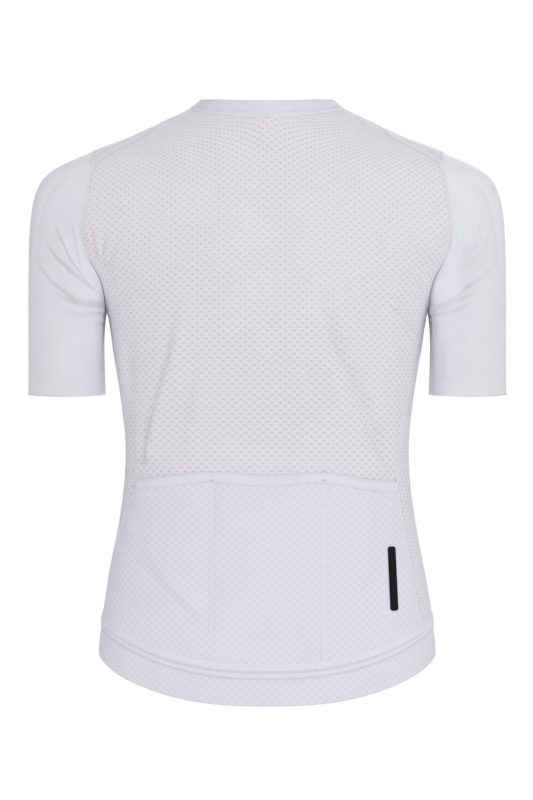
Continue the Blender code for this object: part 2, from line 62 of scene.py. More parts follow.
Array = np.ndarray
Piece = bpy.types.Object
Colour = tuple[float, float, float]
MeshData = tuple[Array, list]  # points and faces
Line = tuple[Array, Array]  # points, and the cloth's normals there
Places = tuple[Array, Array]  # angles in radians, and stations


# ---------------------------------------------------------------- curves and grids


def hermite(start: Array, leave: Array, end: Array, arrive: Array, part: Array) -> Array:
    """The cubic Hermite blend of two points and the tangents there.

    It is start (1 + 2t)(1 - t)^2 + leave t (1 - t)^2 + end t^2 (3 - 2t) + arrive t^2 (t - 1).

    Args:
        start: The first point.
        leave: The tangent there.
        end: The second point.
        arrive: The tangent there.
        part: The t between them, from 0 to 1.

    Returns:
        The blend.
    """
    return (
        start * (1 + 2 * part) * (1 - part) ** 2
        + leave * part * (1 - part) ** 2
        + end * part**2 * (3 - 2 * part)
        + arrive * part**2 * (part - 1)
    )


def smooth_between(knots: tuple | Array, at: Array) -> Array:
    """A Catmull-Rom curve through the rows of knots.

    Each span is the cubic Hermite blend of its two knots, with half the step across each knot as its tangent.

    Args:
        knots: Rows of numbers.
        at: Places that count along the knots from 0.

    Returns:
        The rows at those places.
    """
    knots = np.asarray(knots, float)
    at = np.clip(np.asarray(at, float), 0.0, len(knots) - 1.0)
    first = np.minimum(at.astype(int), len(knots) - 2)
    part = (at - first)[..., None]
    before, start = knots[np.maximum(first - 1, 0)], knots[first]
    end, after = knots[first + 1], knots[np.minimum(first + 2, len(knots) - 1)]
    return hermite(start, (end - before) / 2, end, (after - start) / 2, part)


def unit(vectors: Array) -> Array:
    """The vectors over their lengths."""
    return vectors / np.maximum(np.linalg.norm(vectors, axis=-1, keepdims=True), 1e-12)


def smooth_step(value: Array) -> Array:
    """3t^2 - 2t^3 of the value held between 0 and 1."""
    value = np.clip(value, 0.0, 1.0)
    return value * value * (3 - 2 * value)


def bell(offset: Array, width: float) -> Array:
    """exp(-(offset / width)^2), which is 1 in the middle and near 0 two widths away."""
    return np.exp(-((offset / width) ** 2))


def walked(points: Array) -> Array:
    """The length walked along a line of points, from 0 at the first."""
    return np.concatenate([[0.0], np.cumsum(np.linalg.norm(np.diff(points, axis=0), axis=1))])


def evenly(points: Array, step: float, *others: Array) -> tuple[Array, ...]:
    """Reads a line, and values that go with its points, at even steps of its length.

    Args:
        points: The line's points.
        step: The step in metres.
        others: Arrays with one row for each point.

    Returns:
        The new points, then each of the others at the same places.
    """
    along = walked(points)
    at = np.linspace(0, along[-1], max(3, int(round(along[-1] / step)) + 1))
    return tuple(
        np.stack([np.interp(at, along, rows[:, k]) for k in range(rows.shape[1])], axis=-1)
        for rows in (points, *others)
    )


def grid_normals(points: Array, ring: bool) -> Array:
    """Unit normals of a grid: the step up the rows crossed with the step along the columns.

    Args:
        points: The grid's points.
        ring: Whether the last column joins the first.

    Returns:
        A vector for each point.
    """
    up = np.gradient(points, axis=0)
    along = np.roll(points, -1, axis=1) - np.roll(points, 1, axis=1) if ring else np.gradient(points, axis=1)
    return unit(np.cross(up, along))


def grid_faces(rows: int, columns: int, ring: bool = False, loop: bool = False, flip: bool = False) -> Array:
    """Quads between neighbours of a grid.

    Args:
        rows: Number of rows.
        columns: Number of columns.
        ring: Whether the last column joins the first.
        loop: Whether the last row joins the first.
        flip: Whether each quad is turned round.

    Returns:
        Four point numbers for each quad.
    """
    i = np.arange(rows if loop else rows - 1)[:, None]
    j = np.arange(columns if ring else columns - 1)[None, :]
    i2, j2 = (i + 1) % rows, (j + 1) % columns
    corners = [i * columns + j, i2 * columns + j, i2 * columns + j2, i * columns + j2]
    quads = np.stack(corners, axis=-1).reshape(-1, 4)
    return quads[:, ::-1] if flip else quads


def inset(points: Array, gap: float, sides: str) -> Array:
    """Moves some sides of a grid in, each point towards the next one.

    Args:
        points: The grid's points.
        gap: How far.
        sides: Letters: b and t for the bottom and top rows, f and l for the first and last columns.

    Returns:
        The new points.
    """
    points = points.copy()
    if "b" in sides:
        points[0] += unit(points[1] - points[0]) * gap
    if "t" in sides:
        points[-1] += unit(points[-2] - points[-1]) * gap
    if "f" in sides:
        points[:, 0] += unit(points[:, 1] - points[:, 0]) * gap
    if "l" in sides:
        points[:, -1] += unit(points[:, -2] - points[:, -1]) * gap
    return points


# ---------------------------------------------------------------- shader maths


class Socket:
    """A number in a node tree. Arithmetic on it adds Math nodes."""

    def __init__(self, recipe: "Recipe", link) -> None:
        """Holds the tree that it belongs to and the socket itself."""
        self.recipe, self.link = recipe, link

    def maths(self, operation: str, *values) -> "Socket":
        """A Math node of these values, in order."""
        return self.recipe.node("ShaderNodeMath", {"operation": operation}, dict(enumerate(values)))

    def __add__(self, other) -> "Socket":
        """self + other."""
        return self.maths("ADD", self, other)

    def __sub__(self, other) -> "Socket":
        """self - other."""
        return self.maths("SUBTRACT", self, other)

    def __rsub__(self, other) -> "Socket":
        """other - self."""
        return self.maths("SUBTRACT", other, self)

    def __mul__(self, other) -> "Socket":
        """self * other."""
        return self.maths("MULTIPLY", self, other)

    def __truediv__(self, other) -> "Socket":
        """self / other."""
        return self.maths("DIVIDE", self, other)

    __radd__, __rmul__ = __add__, __mul__

    def from_nearest(self) -> "Socket":
        """How far it is from the nearest whole number."""
        return self - self.maths("ROUND", self)

    def sine(self) -> "Socket":
        """Its sine."""
        return self.maths("SINE", self)

    def least(self, other) -> "Socket":
        """The lesser of the two."""
        return self.maths("MINIMUM", self, other)

    def absolute(self) -> "Socket":
        """Its size without its sign."""
        return self.maths("ABSOLUTE", self)

    def length_with(self, other: "Socket") -> "Socket":
        """sqrt(self^2 + other^2)."""
        return self.maths("SQRT", self * self + other * other)

    def eased(self, start: float, end: float, low: float = 0.0, high: float = 1.0) -> "Socket":
        """Low up to start, high from end on, and smooth between."""
        values = {0: self, 1: start, 2: end, 3: low, 4: high}
        return self.recipe.node("ShaderNodeMapRange", {"interpolation_type": "SMOOTHSTEP"}, values)


class Recipe:
    """One material's node tree."""

    def __init__(self, name: str) -> None:
        """Makes the material with its Principled shader.

        Args:
            name: The material's name.
        """
        self.material = bpy.data.materials.new(name)
        self.material.use_nodes = True
        self.tree = self.material.node_tree
        self.shader = self.tree.nodes["Principled BSDF"]

    def node(self, kind: str, settings: dict, values: dict, out=0) -> Socket:
        """Adds a node.

        Args:
            kind: The node's type.
            settings: Its properties, set before its sockets.
            values: Each input socket's value or link, by name or number.
            out: The output to hand back, by name or number.

        Returns:
            That output.
        """
        made = self.tree.nodes.new(kind)
        for key, value in settings.items():
            setattr(made, key, value)
        for key, value in values.items():
            self.feed(made.inputs[key], value)
        return Socket(self, made.outputs[out])

    def feed(self, socket, value) -> None:
        """Links a socket, or sets its value; a colour gets its fourth number.

        Args:
            socket: The socket to feed.
            value: A Socket, a number, a name or a colour.
        """
        if isinstance(value, Socket):
            self.tree.links.new(value.link, socket)
        elif isinstance(value, tuple) and len(value) == 3 and len(socket.default_value) == 4:
            socket.default_value = (*value, 1.0)
        else:
            socket.default_value = value

    def set(self, **values) -> None:
        """Sets or feeds the shader's own sockets; an underscore stands for a space."""
        for key, value in values.items():
            self.feed(self.shader.inputs[key.replace("_", " ")], value)

    def place(self) -> tuple[Socket, Socket, Socket]:
        """The object's own x, y and z in metres."""
        spot = self.node("ShaderNodeTexCoord", {}, {}, "Object")
        return self.parts(spot)

    def cloth_place(self) -> tuple[Socket, Socket]:
        """How far along and up the cloth, in metres, from the piece's own UV map."""
        spot = self.node("ShaderNodeUVMap", {"uv_map": UV_NAME}, {})
        return self.parts(spot)[:2]

    def parts(self, vector: Socket) -> tuple[Socket, Socket, Socket]:
        """A vector's three numbers."""
        made = self.node("ShaderNodeSeparateXYZ", {}, {0: vector}).link.node
        return tuple(Socket(self, made.outputs[k]) for k in range(3))

    def vector(self, x, y, z=0.0) -> Socket:
        """A vector of three numbers."""
        return self.node("ShaderNodeCombineXYZ", {}, {0: x, 1: y, 2: z})

    def noise(self, vector: Socket, scale: float, detail: float = 2.0) -> Socket:
        """Soft noise from 0 to 1, about 0.5."""
        return self.node("ShaderNodeTexNoise", {}, {"Vector": vector, "Scale": scale, "Detail": detail})

    def mix(self, share, first, second) -> Socket:
        """A colour from first at share 0 to second at share 1."""
        return self.node("ShaderNodeMix", {"data_type": "RGBA"}, {0: share, 6: first, 7: second}, 2)

    def bump(self, height: Socket, distance: float, strength: float = 1.0) -> None:
        """Turns a height from 0 to 1 into the shader's normal."""
        values = {"Height": height, "Distance": distance, "Strength": strength}
        self.set(Normal=self.node("ShaderNodeBump", {}, values, "Normal"))


def shade(colour: Colour, share: float) -> Colour:
    """The colour times a share."""
    return tuple(part * share for part in colour)


class MadeFinish:
    """What the finishes share: a finish makes a material and dresses its shader."""

    def dress(self, recipe: Recipe) -> None:
        """Dresses a recipe's shader; each finish has its own way."""
        raise NotImplementedError

    def made(self, name: str) -> bpy.types.Material:
        """Makes the material.

        Args:
            name: The material's name.

        Returns:
            The material.
        """
        recipe = Recipe(name)
        self.dress(recipe)
        return recipe.material


@dataclass(frozen=True)
class KnitFinish(MadeFinish):
    """Plain fine knit: columns of small loops, a little uneven in tone, with a soft sheen."""

    colour: Colour
    roughness: float = 0.62
    sheen: float = 0.12
    wale: float = 1.15 * MM
    course: float = 0.90 * MM
    relief: float = 0.10 * MM
    tone: float = 0.035
    patch_scale: float = 38.0

    def loops(self, recipe: Recipe, u: Socket, v: Socket) -> Socket:
        """Rows of loops: the product of a wave across and a wave up, from -1 to 1."""
        turn = 2 * math.pi
        return (u * (turn / self.wale)).sine() * (v * (turn / self.course)).sine()

    def tones(self, recipe: Recipe, share: Socket, light: float = 0.6) -> Socket:
        """The colour, from a little darker at share 0 to a little lighter at share 1."""
        dark, pale = shade(self.colour, 1 - self.tone), shade(self.colour, 1 + self.tone * light)
        return recipe.mix(share, dark, pale)

    def dress(self, recipe: Recipe) -> None:
        """Dresses the shader.

        Args:
            recipe: The material's recipe.
        """
        u, v = recipe.cloth_place()
        x, y, z = recipe.place()
        uneven = recipe.noise(recipe.vector(x, y, z), self.patch_scale)
        loops = self.loops(recipe, u, v)
        recipe.set(
            Base_Color=self.tones(recipe, (uneven - 0.5) * 1.6 + loops * 0.12 + 0.5),
            Roughness=(uneven - 0.5) * 0.10 + self.roughness,
            Sheen_Weight=self.sheen,
            Sheen_Roughness=0.45,
            IOR=1.40,
        )
        recipe.bump(loops * 0.5 + uneven * 0.8, self.relief)


@dataclass(frozen=True)
class MeshFinish(KnitFinish):
    """Open-hole knit: staggered rows of small oval eyelets sunk in the cloth, wider open low on the garment,
    each with painted shade for the dark seen in and through it.

    Attributes:
        across: From one eyelet to the next in a row.
        along: From a row to the next but one.
        eyelet: An eyelet's radii, across and up.
        eyelet_shade: How dark the painted shade in an eyelet is.
        open_low: How wide it opens on the lower body, as a share of those radii.
        open_high: The same at the shoulders.
        eyelet_relief: How deep it is.
    """

    patch_scale: float = 30.0
    across: float = 9.40 * MM
    along: float = 8.20 * MM
    eyelet: tuple[float, float] = (2.30 * MM, 1.55 * MM)
    eyelet_shade: float = 0.24
    open_low: float = 1.16
    open_high: float = 0.86
    eyelet_relief: float = 0.36 * MM

    def distance(self, u: Socket, v: Socket, shift: float) -> Socket:
        """Distance to the nearest eyelet of one of the two lattices.

        Args:
            u: How far along the cloth.
            v: How far up the cloth.
            shift: Where the lattice starts, as a share of its own steps.

        Returns:
            The distance in eyelet radii.
        """
        across = (u / self.across + shift).from_nearest() * (self.across / self.eyelet[0])
        up = (v / self.along + shift).from_nearest() * (self.along / self.eyelet[1])
        return across.length_with(up)

    def dress(self, recipe: Recipe) -> None:
        """Dresses the shader.

        Args:
            recipe: The material's recipe.
        """
        u, v = recipe.cloth_place()
        x, y, z = recipe.place()
        spot = recipe.vector(x, y, z)
        uneven = recipe.noise(spot, self.patch_scale)
        broad = recipe.noise(spot, 7.0, 1.0)
        stretch = z.eased(-0.34, -0.08, self.open_low, self.open_high) + (broad - 0.5) * 0.25
        near = self.distance(u, v, 0.0).least(self.distance(u, v, 0.5)) / stretch
        eyelet = near.eased(0.30, 1.20, 1.0, 0.0)
        loops = self.loops(recipe, u, v)
        cloth = self.tones(recipe, (uneven - 0.5) * 1.4 + loops * 0.15 + 0.5, 0.5)
        # Painted shade: the eyelets darken the cloth's colour, standing in for the shade inside the holes; a
        # broad noise varies how dark it is.
        painted_shade = eyelet * (broad.eased(0.30, 0.70, 0.75, 1.0) * self.eyelet_shade)
        recipe.set(
            Base_Color=recipe.mix(painted_shade, cloth, shade(self.colour, 0.30)),
            Roughness=(uneven - 0.5) * 0.10 + self.roughness,
            Sheen_Weight=self.sheen,
            Sheen_Roughness=0.5,
            IOR=1.38,
        )
        recipe.bump(1 - eyelet + loops * 0.08, self.eyelet_relief)


@dataclass(frozen=True)
class TapeFinish(KnitFinish):
    """Woven zip tape: narrow ribs along it, crossed by finer ones."""

    rib: float = 1.3 * MM

    def loops(self, recipe: Recipe, u: Socket, v: Socket) -> Socket:
        """Herringbone ribs: a wave whose phase leans one way on each rib."""
        lean = (u / self.rib).from_nearest().absolute() * 6.0
        return (v * (2 * math.pi / self.course) + lean).sine()


@dataclass(frozen=True)
class ThreadFinish(MadeFinish):
    """Sewing thread: two plies twisted round each other, seen as a fine slant."""

    colour: Colour
    twist: float = 1500.0

    def dress(self, recipe: Recipe) -> None:
        """Dresses the shader.

        Args:
            recipe: The material's recipe.
        """
        x, y, z = recipe.place()
        plies = ((x + z) * self.twist * 2.0 + y * self.twist).sine()
        recipe.set(
            Base_Color=recipe.mix(plies * 0.5 + 0.5, shade(self.colour, 0.86), self.colour),
            Roughness=0.55,
            Sheen_Weight=0.2,
        )
        recipe.bump(plies, 0.05 * MM)


@dataclass(frozen=True)
class ReflectiveFinish(MadeFinish):
    """Black heat-bonded film: a fine honeycomb of glass beads under a satin face, a little rubbed."""

    colour: Colour = (0.0030, 0.0028, 0.0034)
    cell: float = 1.1 * MM

    def dress(self, recipe: Recipe) -> None:
        """Dresses the shader.

        Args:
            recipe: The material's recipe.
        """
        x, y, z = recipe.place()
        spot = recipe.vector(x, z, 0.0)
        cell_values = {"Vector": spot, "Scale": 1 / self.cell}
        cells = recipe.node("ShaderNodeTexVoronoi", {"feature": "DISTANCE_TO_EDGE"}, cell_values)
        rubbed = recipe.noise(spot, 90.0)
        line = cells.eased(0.02, 0.12, 1.0, 0.0)
        recipe.set(
            Base_Color=recipe.mix(line * 0.5 + rubbed * 0.2, self.colour, shade(self.colour, 2.6)),
            Roughness=rubbed * 0.18 + 0.46,
            Specular_IOR_Level=0.14,
        )
        recipe.bump(1 - line, 0.06 * MM)


@dataclass(frozen=True)
class CoilFinish(MadeFinish):
    """Nylon monofilament: smooth, slightly milky, with faint drawn streaks."""

    colour: Colour

    def dress(self, recipe: Recipe) -> None:
        """Dresses the shader.

        Args:
            recipe: The material's recipe.
        """
        x, y, z = recipe.place()
        streak = recipe.noise(recipe.vector(x * 3.0, y, z * 9.0), 220.0)
        recipe.set(
            Base_Color=recipe.mix(streak, shade(self.colour, 0.92), self.colour),
            Roughness=streak * 0.15 + 0.30,
            Coat_Weight=0.10,
        )
        recipe.bump(streak, 0.02 * MM)


@dataclass(frozen=True)
class EnamelFinish(MadeFinish):
    """White enamel on die-cast zinc: orange-peel skin, thinner and warmer in small worn spots."""

    colour: Colour
    metal: Colour = (0.55, 0.55, 0.56)

    def dress(self, recipe: Recipe) -> None:
        """Dresses the shader.

        Args:
            recipe: The material's recipe.
        """
        x, y, z = recipe.place()
        spot = recipe.vector(x, y, z)
        peel = recipe.noise(spot, 900.0)
        worn = recipe.noise(spot, 260.0, 4.0).eased(0.66, 0.74)
        recipe.set(
            Base_Color=recipe.mix(worn, self.colour, self.metal),
            Roughness=peel * 0.10 + worn * 0.15 + 0.22,
            Metallic=worn * 0.8,
            Coat_Weight=0.4 - worn * 0.4,
        )
        recipe.bump(peel * 0.4 - worn * 0.6, 0.04 * MM)


@dataclass(frozen=True)
class FloorFinish(MadeFinish):
    """Matt pale paper, faintly uneven."""

    colour: Colour = (0.90, 0.90, 0.91)

    def dress(self, recipe: Recipe) -> None:
        """Dresses the shader.

        Args:
            recipe: The material's recipe.
        """
        x, y, z = recipe.place()
        uneven = recipe.noise(recipe.vector(x, y, z), 3.0)
        recipe.set(Base_Color=recipe.mix(uneven, shade(self.colour, 0.985), self.colour), Roughness=0.9)


class Finish(Enum):
    """The finishes, each with the record's material slot."""

    MESH = ("mesh_cloth", MeshFinish((0.872, 0.852, 0.890)))
    # Pockets and band: fainter painted shade in their eyelets, as cloth lies behind them.
    POCKET = ("pocket_cloth", MeshFinish((0.852, 0.840, 0.912), eyelet_shade=0.115, eyelet_relief=0.22 * MM))
    BAND = ("hem_band_cloth", MeshFinish((0.846, 0.836, 0.892), eyelet_shade=0.09, eyelet_relief=0.18 * MM))
    SLEEVE = ("sleeve_cloth",
              KnitFinish((0.912, 0.914, 0.952), roughness=0.48, sheen=0.10, wale=0.8 * MM, course=0.7 * MM))
    COLLAR = ("collar_cloth", KnitFinish((0.845, 0.845, 0.900), roughness=0.55, wale=0.9 * MM))
    BINDING = ("pocket_binding_cloth",
               KnitFinish((0.860, 0.858, 0.930), roughness=0.55, wale=1.0 * MM, course=1.4 * MM))
    SEAM = ("sleeve_cloth",
            KnitFinish((0.875, 0.872, 0.920), wale=1.6 * MM, course=1.0 * MM, relief=0.12 * MM))
    DIVIDER = ("pocket_cloth", KnitFinish((0.850, 0.842, 0.910), wale=1.2 * MM, relief=0.08 * MM))
    THREAD = ("sleeve_cloth", ThreadFinish((0.840, 0.835, 0.870)))
    STRIP = ("reflective_black", ReflectiveFinish())
    TAPE = ("zip_tape_cloth", TapeFinish((0.800, 0.800, 0.825), roughness=0.7, relief=0.18 * MM))
    COIL = ("zip_chain_nylon", CoilFinish((0.800, 0.800, 0.820)))
    SLIDER = ("zip_slider_paint", EnamelFinish((0.740, 0.740, 0.760)))
    TAB = ("pull_tab_paint", EnamelFinish((0.740, 0.740, 0.760)))

    @property
    def slot(self) -> str:
        """The record's slot."""
        return self.value[0]


@dataclass
class Wardrobe:
    """Makes each finish once, and turns arrays into dressed pieces that ride on the garment."""

    made: dict[Finish, bpy.types.Material] = field(default_factory=dict)

    def material(self, finish: Finish) -> bpy.types.Material:
        """The finish's material, made when it is first asked for.

        Args:
            finish: The finish.

        Returns:
            Its material.
        """
        if finish not in self.made:
            self.made[finish] = finish.value[1].made(finish.name.lower())
        return self.made[finish]

    def piece(self, name: str, points: Array, faces: list, finish: Finish, uv: Array | None = None,
              body: str = GARMENT, replaces: tuple[str, ...] = ()) -> Piece:
        """Makes a mesh piece, dresses it and lets it ride.

        Args:
            name: The piece's name.
            points: Its points, in any grid shape.
            faces: Lists of point numbers.
            finish: What it is made of.
            uv: Two numbers for each point, in metres along the cloth.
            body: The body that it rides on.
            replaces: The CAD nodes that it stands for.

        Returns:
            The object.
        """
        mesh = bpy.data.meshes.new(name)
        mesh.from_pydata(points.reshape(-1, 3).tolist(), [], faces)
        mesh.polygons.foreach_set("use_smooth", np.ones(len(mesh.polygons), bool))
        spread = points.reshape(-1, 3)[:, [0, 2]] if uv is None else uv.reshape(-1, 2)
        corner = np.empty(len(mesh.loops), np.int32)
        mesh.loops.foreach_get("vertex_index", corner)
        layer = mesh.uv_layers.new(name=UV_NAME)
        layer.data.foreach_set("uv", spread[corner].astype(np.float32).ravel())
        mesh.materials.append(self.material(finish))
        mesh.update()
        made = bpy.data.objects.new(name, mesh)
        bpy.context.scene.collection.objects.link(made)
        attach(made, body)
        if replaces:
            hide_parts(*replaces)
        LOG.info("%s: %d faces", name, len(mesh.polygons))
        return made

    def cloth(self, name: str, points: Array, uv: Array, wall: float, finish: Finish,
              replaces: tuple[str, ...] = (), ring: bool = False, flip: bool = False) -> Piece:
        """Makes a grid of points and gives it a wall, half to each side.

        Args:
            name: The piece's name.
            points: The grid's points.
            uv: Two numbers for each point, in metres along the cloth.
            wall: The wall's thickness.
            finish: What it is made of.
            replaces: The CAD nodes that it stands for.
            ring: Whether the last column joins the first.
            flip: Whether its faces are turned round.

        Returns:
            The object.
        """
        faces = grid_faces(*points.shape[:2], ring, flip=flip).tolist()
        made = self.piece(name, points, faces, finish, uv, replaces=replaces)
        solid = made.modifiers.new("Cloth", "SOLIDIFY")
        solid.thickness, solid.offset, solid.use_even_offset = wall, 0.0, False
        return made


WARDROBE = Wardrobe()


# ---------------------------------------------------------------- the body's form and its seams


@dataclass(frozen=True)
class BodyForm:
    """The closed form of the body from hem to collar, a superellipse at each row.

    A row is: half width, height at the sides, reach and height of the back, reach and height of the front,
    squareness n, and how late the ring drops off. At angle a with c = cos a and s = sin a, x is the half
    width times |c|^(2/n), y is the reach times |s|^(2/n), and z goes from the side's height to the middle's
    as |s|^drop.
    """

    rows: tuple[tuple[float, ...], ...] = (
        (0.1845, -0.567, 0.113, -0.616, 0.101, -0.557, 2.40, 1.5),  # 0 hem edge
        (0.1810, -0.533, 0.112, -0.581, 0.101, -0.523, 2.40, 1.9),  # 1 band seam
        (0.1755, -0.494, 0.109, -0.524, 0.100, -0.489, 2.40, 1.9),
        (0.1680, -0.455, 0.104, -0.470, 0.0985, -0.453, 2.40, 1.8),
        (0.1605, -0.412, 0.096, -0.418, 0.097, -0.411, 2.40, 1.7),
        (0.1562, -0.375, 0.0905, -0.378, 0.096, -0.375, 2.40, 1.7),  # 5 pockets' top
        (0.1552, -0.340, 0.0895, -0.342, 0.0955, -0.340, 2.40, 1.7),
        (0.1578, -0.306, 0.093, -0.308, 0.097, -0.306, 2.40, 1.7),
        (0.1620, -0.275, 0.0985, -0.277, 0.100, -0.275, 2.40, 1.7),
        (0.1680, -0.238, 0.105, -0.241, 0.104, -0.239, 2.40, 1.7),
        (0.1750, -0.196, 0.1095, -0.201, 0.107, -0.198, 2.40, 1.6),  # 10 armpit
        (0.1910, -0.160, 0.1115, -0.167, 0.105, -0.165, 2.35, 1.6),
        (0.2220, -0.121, 0.111, -0.136, 0.0995, -0.139, 2.30, 1.6),
        (0.2360, -0.090, 0.1075, -0.108, 0.092, -0.114, 2.30, 1.6),
        (0.2340, -0.060, 0.101, -0.082, 0.084, -0.094, 2.25, 1.6),
        (0.2180, -0.034, 0.094, -0.058, 0.077, -0.077, 2.20, 1.6),
        (0.1910, -0.017, 0.0865, -0.038, 0.071, -0.0645, 2.15, 1.6),
        (0.1500, -0.001, 0.078, -0.018, 0.066, -0.055, 2.10, 1.6),
        (0.1120, 0.017, 0.0715, 0.001, 0.0625, -0.0485, 2.05, 1.6),
        (0.0845, 0.030, 0.0655, 0.0175, 0.0595, -0.043, 2.00, 1.6),  # 19 collar seam
        (0.0730, 0.039, 0.060, 0.0335, 0.054, -0.032, 2.00, 1.6),
    )

    def ring(self, station: Array) -> Array:
        """The rows' numbers at a station."""
        return smooth_between(self.rows, station)

    def points(self, angle: Array, station: Array) -> Array:
        """Points of the form.

        Args:
            angle: Angles in radians.
            station: Stations.

        Returns:
            A point for each.
        """
        half, side_z, back_y, back_z, front_y, front_z, square, drop = np.moveaxis(self.ring(station), -1, 0)
        cosine, sine = np.cos(angle), np.sin(angle)
        reach = np.where(sine > 0, back_y, front_y)
        level = np.where(sine > 0, back_z, front_z)
        x = half * np.sign(cosine) * np.abs(cosine) ** (2 / square)
        y = -reach * np.sign(sine) * np.abs(sine) ** (2 / square)
        z = side_z + (level - side_z) * np.abs(sine) ** drop
        return np.stack([x, y, z], axis=-1)

    def normals(self, angle: Array, station: Array) -> Array:
        """Unit normals, away from the wearer: the step up crossed with the step round.

        Args:
            angle: Angles in radians.
            station: Stations.

        Returns:
            A vector for each.
        """
        turn, climb = 0.01, 0.02
        along = self.points(angle + turn, station) - self.points(angle - turn, station)
        up = self.points(angle, station + climb) - self.points(angle, station - climb)
        return unit(np.cross(up, along))

    def back_place(self, x: Array, z: Array) -> Places:
        """Finds the back's point at x and z by halving the span of stations.

        Args:
            x: Distances from the middle.
            z: Heights.

        Returns:
            Angles and stations.
        """
        x = np.asarray(x, float)
        low, high = np.zeros_like(x), np.full_like(x, 12.0)
        for _ in range(40):
            station = (low + high) / 2
            ring = self.ring(station)
            share = np.clip(np.abs(x) / ring[..., 0], 0.0, 1.0)
            angle = np.arccos(share ** (ring[..., 6] / 2))
            too_low = self.points(angle, station)[..., 2] < z
            low, high = np.where(too_low, station, low), np.where(too_low, high, station)
        return np.where(x < 0, math.pi - angle, angle), station

    def front_angle(self, x: Array, station: Array) -> Array:
        """Finds the front's point that is x from the middle: x over the half width is |cos|^(2/n).

        Args:
            x: Distances from the middle, below 0 on the left.
            station: Stations.

        Returns:
            Angles in radians.
        """
        ring = self.ring(station)
        share = np.abs(x) / ring[..., 0]
        return -math.pi / 2 + np.sign(x) * (math.pi / 2 - np.arccos(share ** (ring[..., 6] / 2)))


BODY = BodyForm()


@dataclass
class ClothMap:
    """Lengths over the body: round each ring from the middle of the back or the front, and up from the hem.

    Attributes:
        turns: Number of angles, a degree apart, from the middle of the front right round to it.
        steps: Number of steps of station.
    """

    turns: int = 361
    steps: int = 320
    from_back: Array = field(init=False)
    from_front: Array = field(init=False)
    up: Array = field(init=False)

    def __post_init__(self) -> None:
        """Measures the form once on a fine grid of angles and stations."""
        degrees = np.arange(self.turns) - 90.0
        angle, station = np.meshgrid(np.radians(degrees), np.linspace(0, COLLAR_TOP, self.steps + 1))
        points = BODY.points(angle, station)
        steps = np.linalg.norm(np.diff(points, axis=1), axis=2)
        round_it = np.concatenate([np.zeros((len(points), 1)), np.cumsum(steps, axis=1)], axis=1)
        half_way = self.turns // 2
        self.from_back = round_it - round_it[:, half_way, None]
        self.from_front = np.where(degrees <= 90.0, round_it, round_it - round_it[:, -1:])
        rises = np.linalg.norm(np.diff(points, axis=0), axis=2)
        self.up = points[0, :, 2] + np.concatenate([np.zeros((1, self.turns)), np.cumsum(rises, axis=0)])

    def read(self, table: Array, angle: Array, station: Array) -> Array:
        """Reads a table between its grid points, by the four nearest.

        Args:
            table: Numbers by station and angle.
            angle: Angles in radians.
            station: Stations.

        Returns:
            A number for each.
        """
        across = np.clip((np.degrees(angle) + 90.0) % 360.0, 0, self.turns - 1.001)
        up = np.clip(station * self.steps / COLLAR_TOP, 0, self.steps - 0.001)
        j, i = across.astype(int), up.astype(int)
        s, t = across - j, up - i
        low = table[i, j] * (1 - s) + table[i, j + 1] * s
        high = table[i + 1, j] * (1 - s) + table[i + 1, j + 1] * s
        return low * (1 - t) + high * t

    def uv(self, angle: Array, station: Array, front: bool = False) -> Array:
        """Length round and length up for each place."""
        table = self.from_front if front else self.from_back
        return np.stack([self.read(table, angle, station), self.read(self.up, angle, station)], axis=-1)


CLOTH_MAP = ClothMap()


